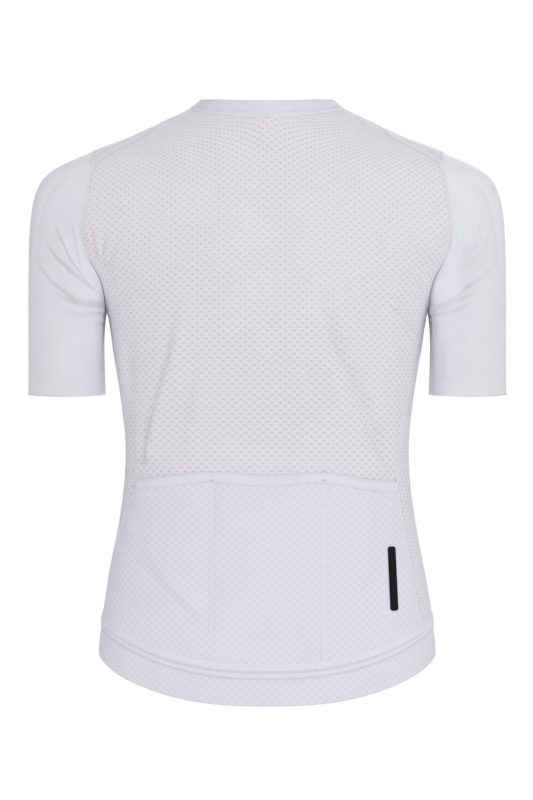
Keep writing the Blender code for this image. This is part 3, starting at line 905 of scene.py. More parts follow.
@dataclass(frozen=True)
class Seams:
    """Where the panels are sewn, as (angle in degrees, station).

    Attributes:
        back_armhole: From the underarm up the back to the shoulder seam.
        front_armhole: From the underarm up the front to the same place.
        front_inner: A front's inner edge above the armpit: the zip, then the neckline.
        pocket_top: The mouths' edge, as (x, z).
        zip_half_gap: How far a front's edge is from the middle of the zip.
    """

    right_side: tuple = (
        (26.5, 1), (28, 2), (28.5, 3), (29.5, 4), (28.5, 5), (24, 6), (21.5, 7), (17.5, 8), (6, 9), (0, 10),
    )
    left_side: tuple = (
        (15, 1), (12, 2), (11, 3), (19, 4), (28, 5), (15, 6), (4, 7), (2, 8), (1, 9), (0, 10),
    )
    back_armhole: tuple = ((0, 10), (12, 10.3), (22, 11), (29, 12), (35, 13), (36, 14), (30, 15.2))
    front_armhole: tuple = (
        (0, 10), (-13, 10.3), (-25, 11), (-36, 12), (-43, 13), (-45, 14), (-38, 15), (-24, 15.6), (-8, 15.95),
        (8, 15.95), (20, 15.65), (30, 15.2),
    )
    shoulder: tuple = ((30, 15.2), (30, 16), (28, 17), (22, 18), (14, 19))
    front_inner: tuple = (
        (-90, 10), (-90, 10.4), (-90, 11.2), (-90, 12.5), (-90, 14), (-90, 15.7), (-90, 17.4), (-90, 19),
        (-62, 19), (-34, 19), (-8, 19), (14, 19),
    )
    pocket_top: tuple = (
        (-0.139, -0.3755), (-0.099, -0.3710), (-0.062, -0.3670), (0.000, -0.3709), (0.060, -0.3680),
        (0.107, -0.3756), (0.1395, -0.3785),
    )
    zip_half_gap: float = 3.4 * MM

    def side(self, side: int) -> tuple:
        """One side seam's knots."""
        return self.right_side if side == RIGHT else self.left_side

    def back_edge(self, side: int) -> Array:
        """The back panel's edge from the band to the collar: side seam, armhole, shoulder seam."""
        return np.array([*self.side(side), *self.back_armhole[1:], *self.shoulder[1:]], float)

    def back_places(self, columns: int, rows: int) -> Places:
        """Spreads the back panel's grid: straight shares between its two edges.

        Args:
            columns: Number of columns, from the right edge to the left one.
            rows: Number of rows.

        Returns:
            Angles and stations.
        """
        at = np.linspace(0, len(self.back_edge(RIGHT)) - 1, rows)
        right, left = (smooth_between(self.back_edge(side), at)[:, None] for side in (RIGHT, LEFT))
        left[..., 0] = 180 - left[..., 0]
        share = np.linspace(0, 1, columns)[None, :, None]
        places = right * (1 - share) + left * share
        return np.radians(places[..., 0]), places[..., 1]

    def front_places(self, side: int, columns: int, steps: int, neck_steps: int) -> tuple[Array, Array, Array]:
        """Spreads one front's grid, as if it were the right one.

        Its rows go from the zip out to the side seam and armhole, and fan round to the shoulder seam.

        Args:
            side: RIGHT or LEFT.
            columns: Number of columns.
            steps: Rows to a knot of its edges below the zip's top.
            neck_steps: Rows to a knot beyond it.

        Returns:
            Angles, stations, and each row's place along the knots.
        """
        outer = np.array([*self.side(side), *self.front_armhole[1:]], float)
        up_zip = [(-90, station) for _, station in self.side(side)]
        inner = np.array([*up_zip, *self.front_inner[1:]], float)
        corner = int(np.flatnonzero(inner[:, 0] == -90)[-1])
        last = len(outer) - 1
        rows = np.concatenate([np.linspace(0, corner, corner * steps + 1),
                               np.linspace(corner, last, (last - corner) * neck_steps + 1)[1:]])
        outer = smooth_between(outer, rows)
        inner = np.stack([np.interp(rows, range(last + 1), inner[:, k]) for k in range(2)], axis=-1)
        beside_zip = np.degrees(BODY.front_angle(np.full(len(rows), self.zip_half_gap), inner[:, 1]))
        inner[:, 0] = np.maximum(inner[:, 0], beside_zip)
        share = np.linspace(0, 1, columns)[None, :, None]
        places = inner[:, None] * (1 - share) + outer[:, None] * share
        edge = self.back_edge(side)
        seam = smooth_between(edge, len(edge) - 1 - (len(self.shoulder) - 1) * share[0, :, 0])
        lean = smooth_step((rows - corner) / (last - corner))[:, None, None]
        places = places + lean * (seam - places[-1])
        return np.radians(places[..., 0]), places[..., 1], rows


SEAMS = Seams()


def on_side(angle: Array, side: int) -> Array:
    """A right-hand angle, or its mirror on the left."""
    return angle if side == RIGHT else math.pi - angle


# ---------------------------------------------------------------- folds


class Face(Enum):
    """Which face of a form a fold is laid on."""

    BACK = -1.0
    FRONT = 1.0


@dataclass(frozen=True)
class Fold:
    """A soft ridge or trough of the cloth.

    Across its path its height is depth * exp(-(d / width)^2), with a width for each hand. Where one is more
    than twice the other it is a tuck, and a shallow trough runs along the foot of its steep side.

    Attributes:
        path: (x, z) in millimetres, on the face named.
        depth: Height in millimetres, below 0 for a trough.
        widths: Width on the left hand and on the right hand, walking along it with the cloth's outside up.
        ends: The shares of the length over which it rises and fades.
        face: The face of the form that it lies on.
    """

    path: tuple[tuple[float, float], ...]
    depth: float
    widths: tuple[float, float]
    ends: tuple[float, float] = (0.45, 0.35)
    face: Face = Face.BACK


@dataclass
class FoldField:
    """Folds laid on one form, ready to be read at any points near it.

    Attributes:
        gain: What every height is times.
        samples: Points to a path.
        foot: How deep the trough at a tuck's foot is, as a share of its height.
        laid: Each fold with its path, tangents, left hands and strengths.
    """

    form: Array
    normals: Array
    folds: tuple[Fold, ...]
    gain: float = 1.0
    samples: int = 56
    foot: float = 0.38
    laid: list = field(default_factory=list)

    def __post_init__(self) -> None:
        """Lays each path: a sample is the form's points' mean by weights exp(-(distance / 2.5 mm)^2)."""
        points, normals = self.form.reshape(-1, 3), self.normals.reshape(-1, 3)
        for fold in self.folds:
            chosen = points[:, 1] * fold.face.value > -0.004
            near, facing = points[chosen], normals[chosen]
            spots = smooth_between(fold.path, np.linspace(0, len(fold.path) - 1, self.samples)) * MM
            apart = ((near[None, :, [0, 2]] - spots[:, None]) ** 2).sum(-1)
            weight = np.exp(-(apart - apart.min(1, keepdims=True)) / (2.5 * MM) ** 2)
            weight /= weight.sum(1, keepdims=True)
            line, out = weight @ near, unit(weight @ facing)
            line, out = evenly(line, walked(line)[-1] / (self.samples - 1), out)
            tangent = unit(np.gradient(line, axis=0))
            share = np.linspace(0, 1, len(line))
            strength = smooth_step(share / fold.ends[0]) * smooth_step((1 - share) / fold.ends[1])
            self.laid.append((fold, line, tangent, unit(np.cross(out, tangent)), strength))

    def height(self, points: Array) -> Array:
        """How far the folds lift each point along its normal.

        A point takes its offset, its hand and the strength from the nearest sample of a path, and a fold ends
        in a bell of how far the point is past it.

        Args:
            points: Points near the form.

        Returns:
            Metres for each.
        """
        flat = points.reshape(-1, 3)
        total = np.zeros(len(flat))
        for fold, line, tangent, left, strength in self.laid:
            wide = np.array(fold.widths) * MM
            reach = 3.0 * wide.max()
            index = np.flatnonzero(((flat > line.min(0) - reach) & (flat < line.max(0) + reach)).all(1))
            if not len(index):
                continue
            batches = np.array_split(index, len(index) // 4000 + 1)
            apart = (((flat[batch, None] - line) ** 2).sum(2) for batch in batches)
            nearest = np.concatenate([distance.argmin(1) for distance in apart])
            gap = flat[index] - line[nearest]
            offset = (gap * left[nearest]).sum(1)
            past = np.maximum(np.abs((gap * tangent[nearest]).sum(1)) - walked(line)[-1] / len(line), 0.0)
            width = np.where(offset > 0, wide[0], wide[1])
            shape = bell(offset, width)
            if wide.max() > 2 * wide.min():
                steep = 1.0 if wide[0] < wide[1] else -1.0
                shape = shape - self.foot * bell(offset - steep * 2.1 * wide.min(), wide.min())
            total[index] += self.gain * fold.depth * MM * shape * strength[nearest] * bell(past, wide.mean())
        return total.reshape(points.shape[:-1])


def mirrored(folds: tuple[Fold, ...], face: Face, share: float, shift: float) -> tuple[Fold, ...]:
    """The same folds on the other face.

    Args:
        folds: The folds.
        face: That face.
        share: How deep they are there, as a share.
        shift: How many millimetres higher they lie.

    Returns:
        The new folds.
    """
    moved = (tuple((x, z + shift) for x, z in fold.path) for fold in folds)
    return tuple(
        Fold(path, fold.depth * share, fold.widths[::-1], fold.ends, face) for path, fold in zip(moved, folds)
    )


BODY_FOLDS_BACK = (
    # Gathers that run into the left armpit.
    Fold(((-194, -96), (-188, -118), (-184, -138), (-182, -150)), -1.1, (3, 2.2), (0.35, 0.35)),
    Fold(((-174, -100), (-176, -118), (-178, -138), (-178, -152)), -1.1, (2.4, 2.4), (0.45, 0.3)),
    Fold(((-158, -114), (-166, -132), (-172, -150), (-175, -162)), -1.2, (2.6, 3.6), (0.45, 0.3)),
    Fold(((-184, -104), (-183, -122), (-181, -142)), 0.8, (2.4, 2.4), (0.4, 0.3)),
    Fold(((-150, -150), (-163, -165), (-173, -180)), 0.9, (6, 6)),
    # Gathers that run into the right armpit.
    Fold(((172, -120), (179, -136), (182, -152)), 1.2, (3.5, 3.5)),
    Fold(((158, -148), (168, -160), (176, -172)), 1, (4, 4)),
    Fold(((121, -163), (133, -184), (148, -207), (161, -231)), 3, (4.4, 3), (0.5, 0.15)),
    # Long soft drag lines from the armpits towards the waist.
    Fold(((-85, -172), (-93, -205), (-101, -246), (-113, -285), (-125, -330), (-130, -368)),
         3.1, (15, 5), (0.45, 0.10)),
    Fold(((-66, -226), (-75, -279), (-82, -322), (-88, -358)), 1.1, (14, 6), (0.5, 0.25)),
    Fold(((-141, -368), (-146, -388), (-150, -406)), -1.6, (5, 4)),
    Fold(((-150, -215), (-150, -260), (-146, -300)), -1.6, (9, 9)),
    Fold(((44, -150), (58, -186), (73, -231), (91, -270), (106, -301), (123, -343), (131, -366)),
         -3.6, (8.5, 6), (0.40, 0.12)),
    Fold(((30, -160), (46, -205), (66, -255), (92, -310), (112, -355)), 1.2, (6, 13), (0.45, 0.2)),
    Fold(((124, -215), (136, -252), (145, -292)), 1.8, (9, 18), (0.5, 0.4)),
    Fold(((-30, -60), (-36, -120), (-30, -190)), 1.1, (26, 26)),
    Fold(((30, -50), (44, -110), (40, -180)), 1.2, (24, 24)),
    Fold(((-100, -60), (-128, -90), (-150, -118)), -1.4, (14, 14)),
    Fold(((96, -56), (126, -86), (150, -116)), -1.3, (14, 14)),
    Fold(((-60, -330), (0, -338), (60, -332)), -1.3, (15, 15)),
    Fold(((-50, -352), (-4, -357), (48, -353)), 1, (8, 8)),
)

BODY_FOLDS_FRONT = (
    Fold(((-84, -190), (-104, -232), (-124, -280), (-138, -340)), -2.2, (14, 12), (0.5, 0.4), Face.FRONT),
    Fold(((88, -186), (104, -236), (120, -290), (134, -352)), -2.1, (13, 14), (0.5, 0.4), Face.FRONT),
    Fold(((-40, -120), (-76, -140), (-120, -168)), 1.5, (12, 12), (0.5, 0.4), Face.FRONT),
    Fold(((36, -130), (74, -148), (124, -172)), 1.4, (13, 11), (0.5, 0.4), Face.FRONT),
    Fold(((-12, -300), (-52, -312), (-110, -306)), -1.5, (9, 9), (0.3, 0.5), Face.FRONT),
    Fold(((-10, -342), (-48, -350), (-96, -340)), 1.3, (8, 8), (0.3, 0.5), Face.FRONT),
    Fold(((12, -318), (50, -328), (104, -318)), -1.4, (9, 9), (0.3, 0.5), Face.FRONT),
    Fold(((12, -372), (44, -384), (88, -378)), -1.2, (8, 10), (0.3, 0.5), Face.FRONT),
    Fold(((-12, -402), (-40, -412), (-84, -404)), 1.1, (8, 9), (0.3, 0.5), Face.FRONT),
    Fold(((-60, -440), (-72, -470), (-78, -505)), 1.2, (12, 12), face=Face.FRONT),
    Fold(((66, -430), (76, -466), (84, -505)), 1.2, (12, 12), face=Face.FRONT),
)

POCKET_FOLDS = (
    Fold(((-130, -449), (-116, -470), (-95, -493), (-72, -517), (-60, -531)), 2.2, (14, 6.5), (0.4, 0.35)),
    Fold(((-128, -388), (-104, -397), (-84, -398)), -1.3, (8, 9)),
    Fold(((-56, -392), (-44, -420), (-36, -448)), 0.9, (9, 8), (0.3, 0.4)),
    Fold(((-48, -448), (-44, -466), (-50, -478)), -1.2, (7, 7)),
    Fold(((108, -391), (122, -388), (138, -383)), -1.5, (3.5, 2.6), (0.5, 0.1)),
    Fold(((-140, -392), (-150, -402), (-157, -412)), -1.2, (6, 5)),
    Fold(((-30, -395), (-8, -450), (-4, -520)), 1, (17, 17)),
    Fold(((96, -388), (100, -430), (96, -490)), 1.2, (14, 14)),
    Fold(((126, -392), (120, -410), (117, -432)), -1.2, (5, 5), (0.2, 0.4)),
    Fold(((134, -394), (131, -412), (131, -432)), 0.9, (4, 4), (0.2, 0.4)),
    Fold(((100, -470), (112, -500), (118, -540)), -0.9, (10, 10)),
    Fold(((-59, -380), (-60, -450), (-60, -530)), -0.9, (5, 5), (0.05, 0.3)),
    Fold(((61, -380), (61, -450), (62, -560)), -0.6, (6, 6), (0.05, 0.3)),
)

# A sleeve's tucks fan out of the armpit. Their steep side looks down.
LEFT_SLEEVE_FOLDS = (
    Fold(((-234, -90), (-223, -113), (-212, -136), (-199, -154), (-187, -168)), 1.5, (3.6, 1), (0.40, 0.12)),
    Fold(((-213, -90), (-210, -103), (-205, -119), (-202, -141), (-197, -156)), 1.2, (3, 1.1), (0.45, 0.25)),
    Fold(((-242, -113), (-231, -130), (-217, -144), (-202, -157), (-185, -171)), 1.5, (3.6, 1), (0.40, 0.10)),
    Fold(((-252, -136), (-238, -154), (-223, -168), (-203, -181), (-179, -183)), 1.6, (3.8, 1), (0.40, 0.08)),
    Fold(((-236, -170), (-219, -179), (-199, -186), (-180, -187)), 1.2, (2.8, 1), (0.45, 0.08)),
    Fold(((-225, -191), (-208, -196), (-193, -196), (-178, -192)), 1.1, (3, 1), (0.50, 0.08)),
    Fold(((-196, -208), (-186, -206), (-178, -200)), 0.9, (3, 1.3), (0.5, 0.1)),
    Fold(((-192, -219), (-184, -214), (-178, -208)), 0.7, (2.8, 1.5), (0.5, 0.1)),
    Fold(((-208, -210), (-206, -240), (-208, -270)), 0.6, (13, 13)),
)

RIGHT_SLEEVE_FOLDS = (
    Fold(((232, -86), (226, -107), (219, -127), (210, -146)), 2.3, (2.4, 2.4), (0.40, 0.30)),
    Fold(((244, -97), (235, -116), (226, -132), (208, -152)), 2.5, (2, 3), (0.35, 0.20)),
    Fold(((252, -130), (243, -145), (230, -157), (213, -168), (198, -180), (181, -187)),
         1.8, (1.6, 4), (0.35, 0.06)),
    Fold(((242, -160), (225, -172), (208, -181), (194, -188), (180, -191)), 1.5, (1.7, 2.4), (0.40, 0.05)),
    Fold(((234, -173), (217, -185), (205, -192), (190, -195), (179, -195)), 1.5, (1.4, 2.4), (0.40, 0.05)),
    Fold(((210, -96), (208, -122), (204, -146)), 1.8, (2.6, 2.6)),
    Fold(((198, -140), (191, -150), (185, -162)), 1.5, (2.2, 2.2), (0.4, 0.2)),
    Fold(((188, -150), (184, -164), (181, -176)), 1.2, (1.8, 1.8), (0.4, 0.2)),
    Fold(((190, -206), (184, -204), (179, -200)), 0.8, (1.4, 2.6), (0.5, 0.1)),
    Fold(((190, -215), (189, -245), (190, -275)), -1.2, (6, 6), (0.2, 0.3)),
    Fold(((212, -215), (214, -245), (213, -270)), 0.6, (12, 12)),
)


# ---------------------------------------------------------------- trims: welts, threads, stitches


@dataclass(frozen=True)
class Welt:
    """A low rounded welt: half an ellipse over the cloth and a shallow belly under it.

    With t from 0 to 360 degrees round the section, across is half_width * cos(t), and up is height * sin(t)
    above the cloth and sunk * sin(t) below it.
    """

    half_width: float
    height: float
    sunk: float = 0.3 * MM
    ring: int = 10

    def along(self, path: Array, out: Array, loop: bool = False) -> MeshData:
        """Carries the section along a path.

        Args:
            path: Points on the cloth.
            out: The cloth's normals there.
            loop: Whether the path closes on itself.

        Returns:
            The points and the faces.
        """
        step = np.roll(path, -1, axis=0) - np.roll(path, 1, axis=0) if loop else np.gradient(path, axis=0)
        across = unit(np.cross(out, unit(step)))
        turn = np.arange(self.ring) * 2 * math.pi / self.ring
        aside = self.half_width * np.cos(turn)
        up = np.where(np.sin(turn) > 0, self.height, self.sunk) * np.sin(turn)
        points = path[:, None] + across[:, None] * aside[None, :, None] + out[:, None] * up[None, :, None]
        faces = grid_faces(len(path), self.ring, ring=True, loop=loop, flip=True).tolist()
        if not loop:
            start, last = list(range(self.ring)), (len(path) - 1) * self.ring
            faces += [start, [last + k for k in reversed(start)]]
        return points, faces


@dataclass(frozen=True)
class Thread:
    """A short rounded length of thread: a tube of five sides, thinner at its ends.

    At s from -1 to 1 along it, its middle stands arch * (1 - s^2) above the cloth.
    """

    length: float
    radius: float
    arch: float
    sides: int = 5
    place: tuple[float, ...] = (-1.0, -0.72, 0.0, 0.72, 1.0)
    girth: tuple[float, ...] = (0.35, 0.90, 1.0, 0.90, 0.35)

    def laid(self, middle: Array, along: Array, out: Array) -> MeshData:
        """Lays many of them as one mesh.

        Args:
            middle: The middle of each.
            along: The way that each points.
            out: The cloth's normals there.

        Returns:
            The points and the faces.
        """
        place, girth = np.array(self.place), np.array(self.girth)
        turn = np.arange(self.sides) * 2 * math.pi / self.sides
        along = unit(along)
        across = unit(np.cross(out, along))
        centre = (middle[:, None] + along[:, None] * (place * self.length / 2)[None, :, None]
                  + out[:, None] * (self.arch * (1 - place**2))[None, :, None])
        ring = across[:, None] * np.cos(turn)[None, :, None] + out[:, None] * np.sin(turn)[None, :, None]
        points = centre[:, :, None] + (ring * self.radius)[:, None] * girth[None, :, None, None]
        count = len(place) * self.sides
        starts = np.arange(len(middle))[:, None, None] * count
        walls = grid_faces(len(place), self.sides, ring=True, flip=True)[None] + starts
        first = np.arange(self.sides)
        caps = np.array([first, count - 1 - first])[None] + starts
        return points, walls.reshape(-1, 4).tolist() + caps.reshape(-1, self.sides).tolist()


@dataclass(frozen=True)
class Stitching:
    """A row of lockstitch: its pitch and its thread."""

    pitch: float = 2.6 * MM
    thread: Thread = Thread(2.0 * MM, 0.20 * MM, 0.10 * MM)

    def row(self, path: Array, out: Array) -> MeshData:
        """Lays stitches along a path, at even steps.

        Args:
            path: Points on the cloth.
            out: The cloth's normals there.

        Returns:
            The points and the faces.
        """
        path, out = evenly(path, self.pitch, out)
        return self.thread.laid(path, np.gradient(path, axis=0), unit(out))

    def beside(self, path: Array, out: Array, aside: float, up: float) -> list[MeshData]:
        """A row on each hand of a seam, this far from it and this far off the cloth."""
        return [self.row(shifted(path, out, aside * way, up), out) for way in (-1, 1)]


STITCH = Stitching()


def joined(meshes: list[MeshData]) -> MeshData:
    """Joins several meshes as one: their points in a row, and their faces counted on.

    Args:
        meshes: Points and faces of each.

    Returns:
        The points and the faces.
    """
    points, faces, start = [], [], 0
    for part_points, part_faces in meshes:
        flat = part_points.reshape(-1, 3)
        points.append(flat)
        faces += [[start + k for k in face] for face in part_faces]
        start += len(flat)
    return np.concatenate(points), faces


def shifted(path: Array, out: Array, aside: float, up: float) -> Array:
    """The path moved to its left hand and outwards."""
    left = unit(np.cross(out, unit(np.gradient(path, axis=0))))
    return path + left * aside + out * up


# ---------------------------------------------------------------- the garment's sub-assemblies


@dataclass
class Body:
    """The body's panels: back, two fronts and hem band, with the folds that they share."""

    wall: float = 0.9 * MM
    band_wall: float = 1.5 * MM
    gap: float = 0.10 * MM
    back_columns: int = 172
    back_rows: int = 236
    front_columns: int = 68
    front_steps: int = 11
    neck_steps: int = 14
    band_columns: int = 384
    band_rows: int = 17
    fold_gain: float = 1.7
    swell_above_band: float = 1.3 * MM
    dip_below_band: float = 0.5 * MM
    ripple: float = 0.35 * MM
    zip_edge_height: float = 0.5 * MM
    zip_edge_place: float = 5.4 * MM
    zip_edge_width: float = 1.6 * MM
    band_puff: float = 0.5 * MM
    band_tuck: float = 3.4 * MM
    field: FoldField = field(init=False)

    def __post_init__(self) -> None:
        """Lays the body's folds on a coarse copy of its form."""
        angle, station = np.meshgrid(np.radians(np.arange(-90, 270, 2.0)), np.linspace(0, COLLAR_TOP, 161))
        form, out = BODY.points(angle, station), BODY.normals(angle, station)
        self.field = FoldField(form, out, BODY_FOLDS_BACK + BODY_FOLDS_FRONT, self.fold_gain)

    def lift(self, angle: Array, station: Array) -> Array:
        """How far the cloth stands off its form.

        The folds fade out below the collar. Just above the hem seam there is a soft swell and below it a dip,
        each a bell of the station, and a slow wave runs round the lowest part.

        Args:
            angle: Angles in radians.
            station: Stations.

        Returns:
            Metres along the normal.
        """
        points = BODY.points(angle, station)
        swell = self.swell_above_band * bell(station - 1.20, 0.13)
        dip = self.dip_below_band * bell(station - 0.84, 0.05)
        ripple = self.ripple * np.sin(np.degrees(angle) * 0.21) * bell(station - 1.5, 0.9)
        fade = smooth_step((COLLAR_SEAM + 0.2 - station) / 0.8)
        return self.field.height(points) * fade + swell - dip + ripple

    def surface(self, angle: Array, station: Array, lift: float | Array = 0.0) -> Line:
        """Points of the folded cloth, moved out by lift, and the form's normals there."""
        out = BODY.normals(angle, station)
        return BODY.points(angle, station) + out * (self.lift(angle, station) + lift)[..., None], out

    def line(self, angle: Array, station: float | Array, lift: float | Array = 0.0) -> Line:
        """A line over the folded cloth read at even steps, with the normals there."""
        points, out = self.surface(angle, np.broadcast_to(station, angle.shape), lift)
        return evenly(points, TRIM_STEP, out)

    def back(self) -> Piece:
        """Makes the back panel.

        Returns:
            The panel.
        """
        angle, station = SEAMS.back_places(self.back_columns, self.back_rows)
        points = inset(self.surface(angle, station)[0], self.gap, "btfl")
        uv = CLOTH_MAP.uv(angle, station)
        made = WARDROBE.cloth("back_panel", points, uv, self.wall, Finish.MESH, ("back",))
        return made

    def front(self, side: int) -> Piece:
        """Makes one front. Its edge at the zip is rolled over: a bell of the distance from it.

        Args:
            side: RIGHT or LEFT.

        Returns:
            The panel.
        """
        angle, station, _ = SEAMS.front_places(side, self.front_columns, self.front_steps, self.neck_steps)
        angle = on_side(angle, side)
        points, out = self.surface(angle, station)
        beside = bell(np.abs(points[..., 0]) - self.zip_edge_place, self.zip_edge_width)
        points += out * (self.zip_edge_height * beside)[..., None]
        uv = CLOTH_MAP.uv(angle, station, front=True)
        if side == LEFT:
            points, uv = points[:, ::-1], uv[:, ::-1]
        word = SIDE_WORD[side]
        made = WARDROBE.cloth(f"front_{word}_panel", inset(points, self.gap, "btfl"), uv, self.wall,
                              Finish.MESH, (f"front_{word}",))
        return made

    def band(self) -> Piece:
        """Makes the hem band: a little swollen, sunk at its seam, and tucked under towards its sides.

        Returns:
            The band.
        """
        start = BODY.front_angle(np.array(SEAMS.zip_half_gap), np.array(1.0))
        round_it = np.linspace(start, math.pi - start, self.band_columns)
        angle, station = np.meshgrid(round_it, np.linspace(0.0, 1.0, self.band_rows))
        puff = self.band_puff * np.sin(math.pi * np.clip(station / 0.84, 0, 1))
        sunk = -0.5 * MM * bell(station - 1.0, 0.10)
        away = np.abs(BODY.points(angle, station)[..., 0])
        towards_side = smooth_step((away - 0.045) / 0.085) * (1 - 0.85 * smooth_step((away - 0.125) / 0.03))
        points, _ = self.surface(angle, station, puff + sunk - self.band_tuck * towards_side * (1 - station))
        made = WARDROBE.cloth("hem_band_tube", inset(points, self.gap, "t"), CLOTH_MAP.uv(angle, station),
                              self.band_wall, Finish.BAND, ("hem_band",))
        return made

    def build(self) -> list[Piece]:
        """All of the body's panels."""
        return [self.back(), self.front(RIGHT), self.front(LEFT), self.band()]


@dataclass
class Sleeve:
    """A set-in sleeve: rings from the armhole to the cuff.

    Attributes:
        side: RIGHT or LEFT.
        cuff: The middle of the cuff.
        spread: Radians round the sleeve over which the leaving directions are evened.
        leave_pull: How hard a curve leaves the armhole: least, how much more at the top, and the power.
        arrive_pull: The same for how hard it arrives at the cuff.
        seam_turn: Where the sleeve's own seam runs.
        points: The rings' points.
        turn: How far round the sleeve each column is: 0 at the outside and 90 degrees at the back.
        armhole: (angle in degrees, station) of each column on the body.
    """

    side: int
    body: Body
    folds: tuple[Fold, ...]
    rows: int = 160
    wall: float = 0.8 * MM
    seam_gap: float = 0.30 * MM
    cuff: tuple[float, float, float] = (0.2200, 0.0, -0.2835)
    half_width: float = 0.0420
    half_depth: float = 0.0500
    back_drop: float = 0.0030
    under_clear: float = 0.0019
    spread: float = 0.40
    leave_pull: tuple[float, float, float] = (0.060, 0.195, 1.6)
    arrive_pull: tuple[float, float, float] = (0.060, 0.690, 1.5)
    fold_gain: float = 1.25
    seam_turn: float = 2.66
    seam_welt: Welt = Welt(0.9 * MM, 0.75 * MM, 0.2 * MM)
    armhole_welt: Welt = Welt(1.3 * MM, 0.85 * MM)
    cuff_line: float = 3.2 * MM
    cuff_edge: float = 0.35 * MM
    cuff_wave: float = 0.22 * MM
    points: Array = field(init=False)
    turn: Array = field(init=False)
    armhole: Array = field(init=False)

    def __post_init__(self) -> None:
        """Works out the sleeve's rings."""
        self.points = self.grid()

    @property
    def word(self) -> str:
        """The side's name."""
        return SIDE_WORD[self.side]

    def loop(self) -> tuple[Array, Array, Array]:
        """Places round the armhole, up the back and down the front, as if it were the right one.

        Returns:
            Angles, stations, and how far round the sleeve each is.
        """
        seam = len(SEAMS.side(self.side)) - 1
        knots = np.linspace(seam, seam + len(SEAMS.back_armhole) - 1, 6 * 12 + 1)
        back = smooth_between(SEAMS.back_edge(self.side), knots)
        angle, station, rows = SEAMS.front_places(self.side, 2, 9, 14)
        front = np.stack([np.degrees(angle[:, -1]), station[:, -1]], axis=-1)[rows > seam + 1e-6]
        loop = np.concatenate([back, front[::-1][1:]])
        closed = np.concatenate([loop, loop[:1]])
        length = walked(BODY.points(np.radians(closed[:, 0]), closed[:, 1]))
        upper = closed[:, 1] > 14.5
        top = np.interp(0.0, -closed[upper, 0], length[upper])
        past = -math.pi * (length - top) / (length[-1] - top)
        turn = np.where(length < top, math.pi * (1 - length / top), past)
        return np.radians(loop[:, 0]), loop[:, 1], turn[:-1]

    def leaving(self, start: Array, normal: Array, under: Array) -> Array:
        """The way that each curve leaves the armhole.

        It is square to the armhole along the cloth, turned down and a little out at the underarm, and then
        the mean of its neighbours, weighed by exp(-(angle between / spread)^2).

        Args:
            start: Points round the armhole.
            normal: The cloth's normals there.
            under: 1 at the underarm and 0 at the top, as a column.

        Returns:
            Unit vectors.
        """
        along = unit(np.roll(start, -1, axis=0) - np.roll(start, 1, axis=0))
        leave = unit(np.cross(along, normal))
        leave = unit(leave * (1 - under) + np.array([0.25, 0.0, -1.0]) * under)
        apart = np.abs(np.angle(np.exp(1j * (self.turn[:, None] - self.turn))))
        share = np.abs(np.angle(np.exp(1j * (np.roll(self.turn, -1) - np.roll(self.turn, 1)))))
        return unit((np.exp(-((apart / self.spread) ** 2)) * share) @ leave)

    def grid(self) -> Array:
        """The sleeve's points, ring by ring.

        A column's point is the Hermite blend of its place on the armhole and its place on the cuff's ellipse.
        The body's own folds run on into its first quarter.

        Returns:
            The points, by ring and column.
        """
        angle, station, turn = self.loop()
        self.turn, self.armhole = turn, np.stack([np.degrees(angle), station], axis=-1)
        start, normal = BODY.points(angle, station), BODY.normals(angle, station)
        outer = (1 + np.cos(turn)) / 2
        under = smooth_step((0.5 - outer) / 0.42)[:, None]
        leave = self.leaving(start, normal, under)
        sine = np.sin(turn)
        ellipse = [self.half_width * np.cos(turn), -self.half_depth * sine, -self.back_drop * sine]
        end = np.array(self.cuff) + np.stack(ellipse, axis=-1)
        folded = self.body.lift(on_side(angle, self.side), station)[:, None] * normal
        start = start + leave * self.seam_gap + under * np.array([self.under_clear, 0.0, 0.0])
        pulls = (self.leave_pull, self.arrive_pull)
        pull_out, pull_down = ((least + more * outer**power)[:, None] for least, more, power in pulls)
        part = (np.linspace(0, 1, self.rows) ** 0.9)[:, None, None]
        points = hermite(start, leave * pull_out, end, np.array([0.0, 0.0, -1.0]) * pull_down, part)
        points = points + folded * smooth_step(1 - part / 0.25)
        return points * np.array([self.side, 1, 1])

    def build(self) -> Piece:
        """Makes the sleeve, with its tucks, a thicker bonded edge at its cuff and a slow wave round it.

        Returns:
            The sleeve.
        """
        out = grid_normals(self.points, ring=True) * self.side
        tucks = FoldField(self.points, out, self.folds, self.fold_gain)
        rises = np.linalg.norm(np.diff(self.points, axis=0), axis=2)
        none = np.zeros((1, rises.shape[1]))
        above = np.concatenate([np.cumsum(rises[::-1], axis=0)[::-1], none])
        fade = smooth_step(np.linspace(0, 1, self.rows) / 0.05)[:, None]
        lift = tucks.height(self.points) * fade + self.cuff_edge * smooth_step(1 - above / self.cuff_line)
        lift += self.cuff_wave * np.sin(self.turn * 5 + 0.7)[None] * bell(above, 30 * MM)
        self.points = self.points + out * lift[..., None]
        rises = np.linalg.norm(np.diff(self.points, axis=0), axis=2)
        down = np.concatenate([none, np.cumsum(rises, axis=0)])
        uv = np.stack([np.broadcast_to(self.turn * self.half_depth, down.shape), down], axis=-1)
        made = WARDROBE.cloth(f"sleeve_{self.word}_tube", self.points, uv, self.wall, Finish.SLEEVE,
                              (f"sleeve_{self.word}",), ring=True, flip=self.side < 0)
        return made

    def seam_path(self, start: int) -> Line:
        """Follows the sleeve's own seam from a row down to the cuff.

        Args:
            start: That row.

        Returns:
            Its points, and the normals there.
        """
        out = grid_normals(self.points, ring=True) * self.side
        column = int(np.abs(self.turn - self.seam_turn).argmin())
        return evenly(self.points[start:, column], 1.5 * MM, out[start:, column])

    def armhole_path(self) -> Line:
        """Follows the armhole seam right round.

        Returns:
            Its points, and the normals there.
        """
        places = np.concatenate([self.armhole, self.armhole[:1]])
        ring, out = self.body.line(on_side(np.radians(places[:, 0]), self.side), places[:, 1])
        return ring[:-1], unit(out[:-1])

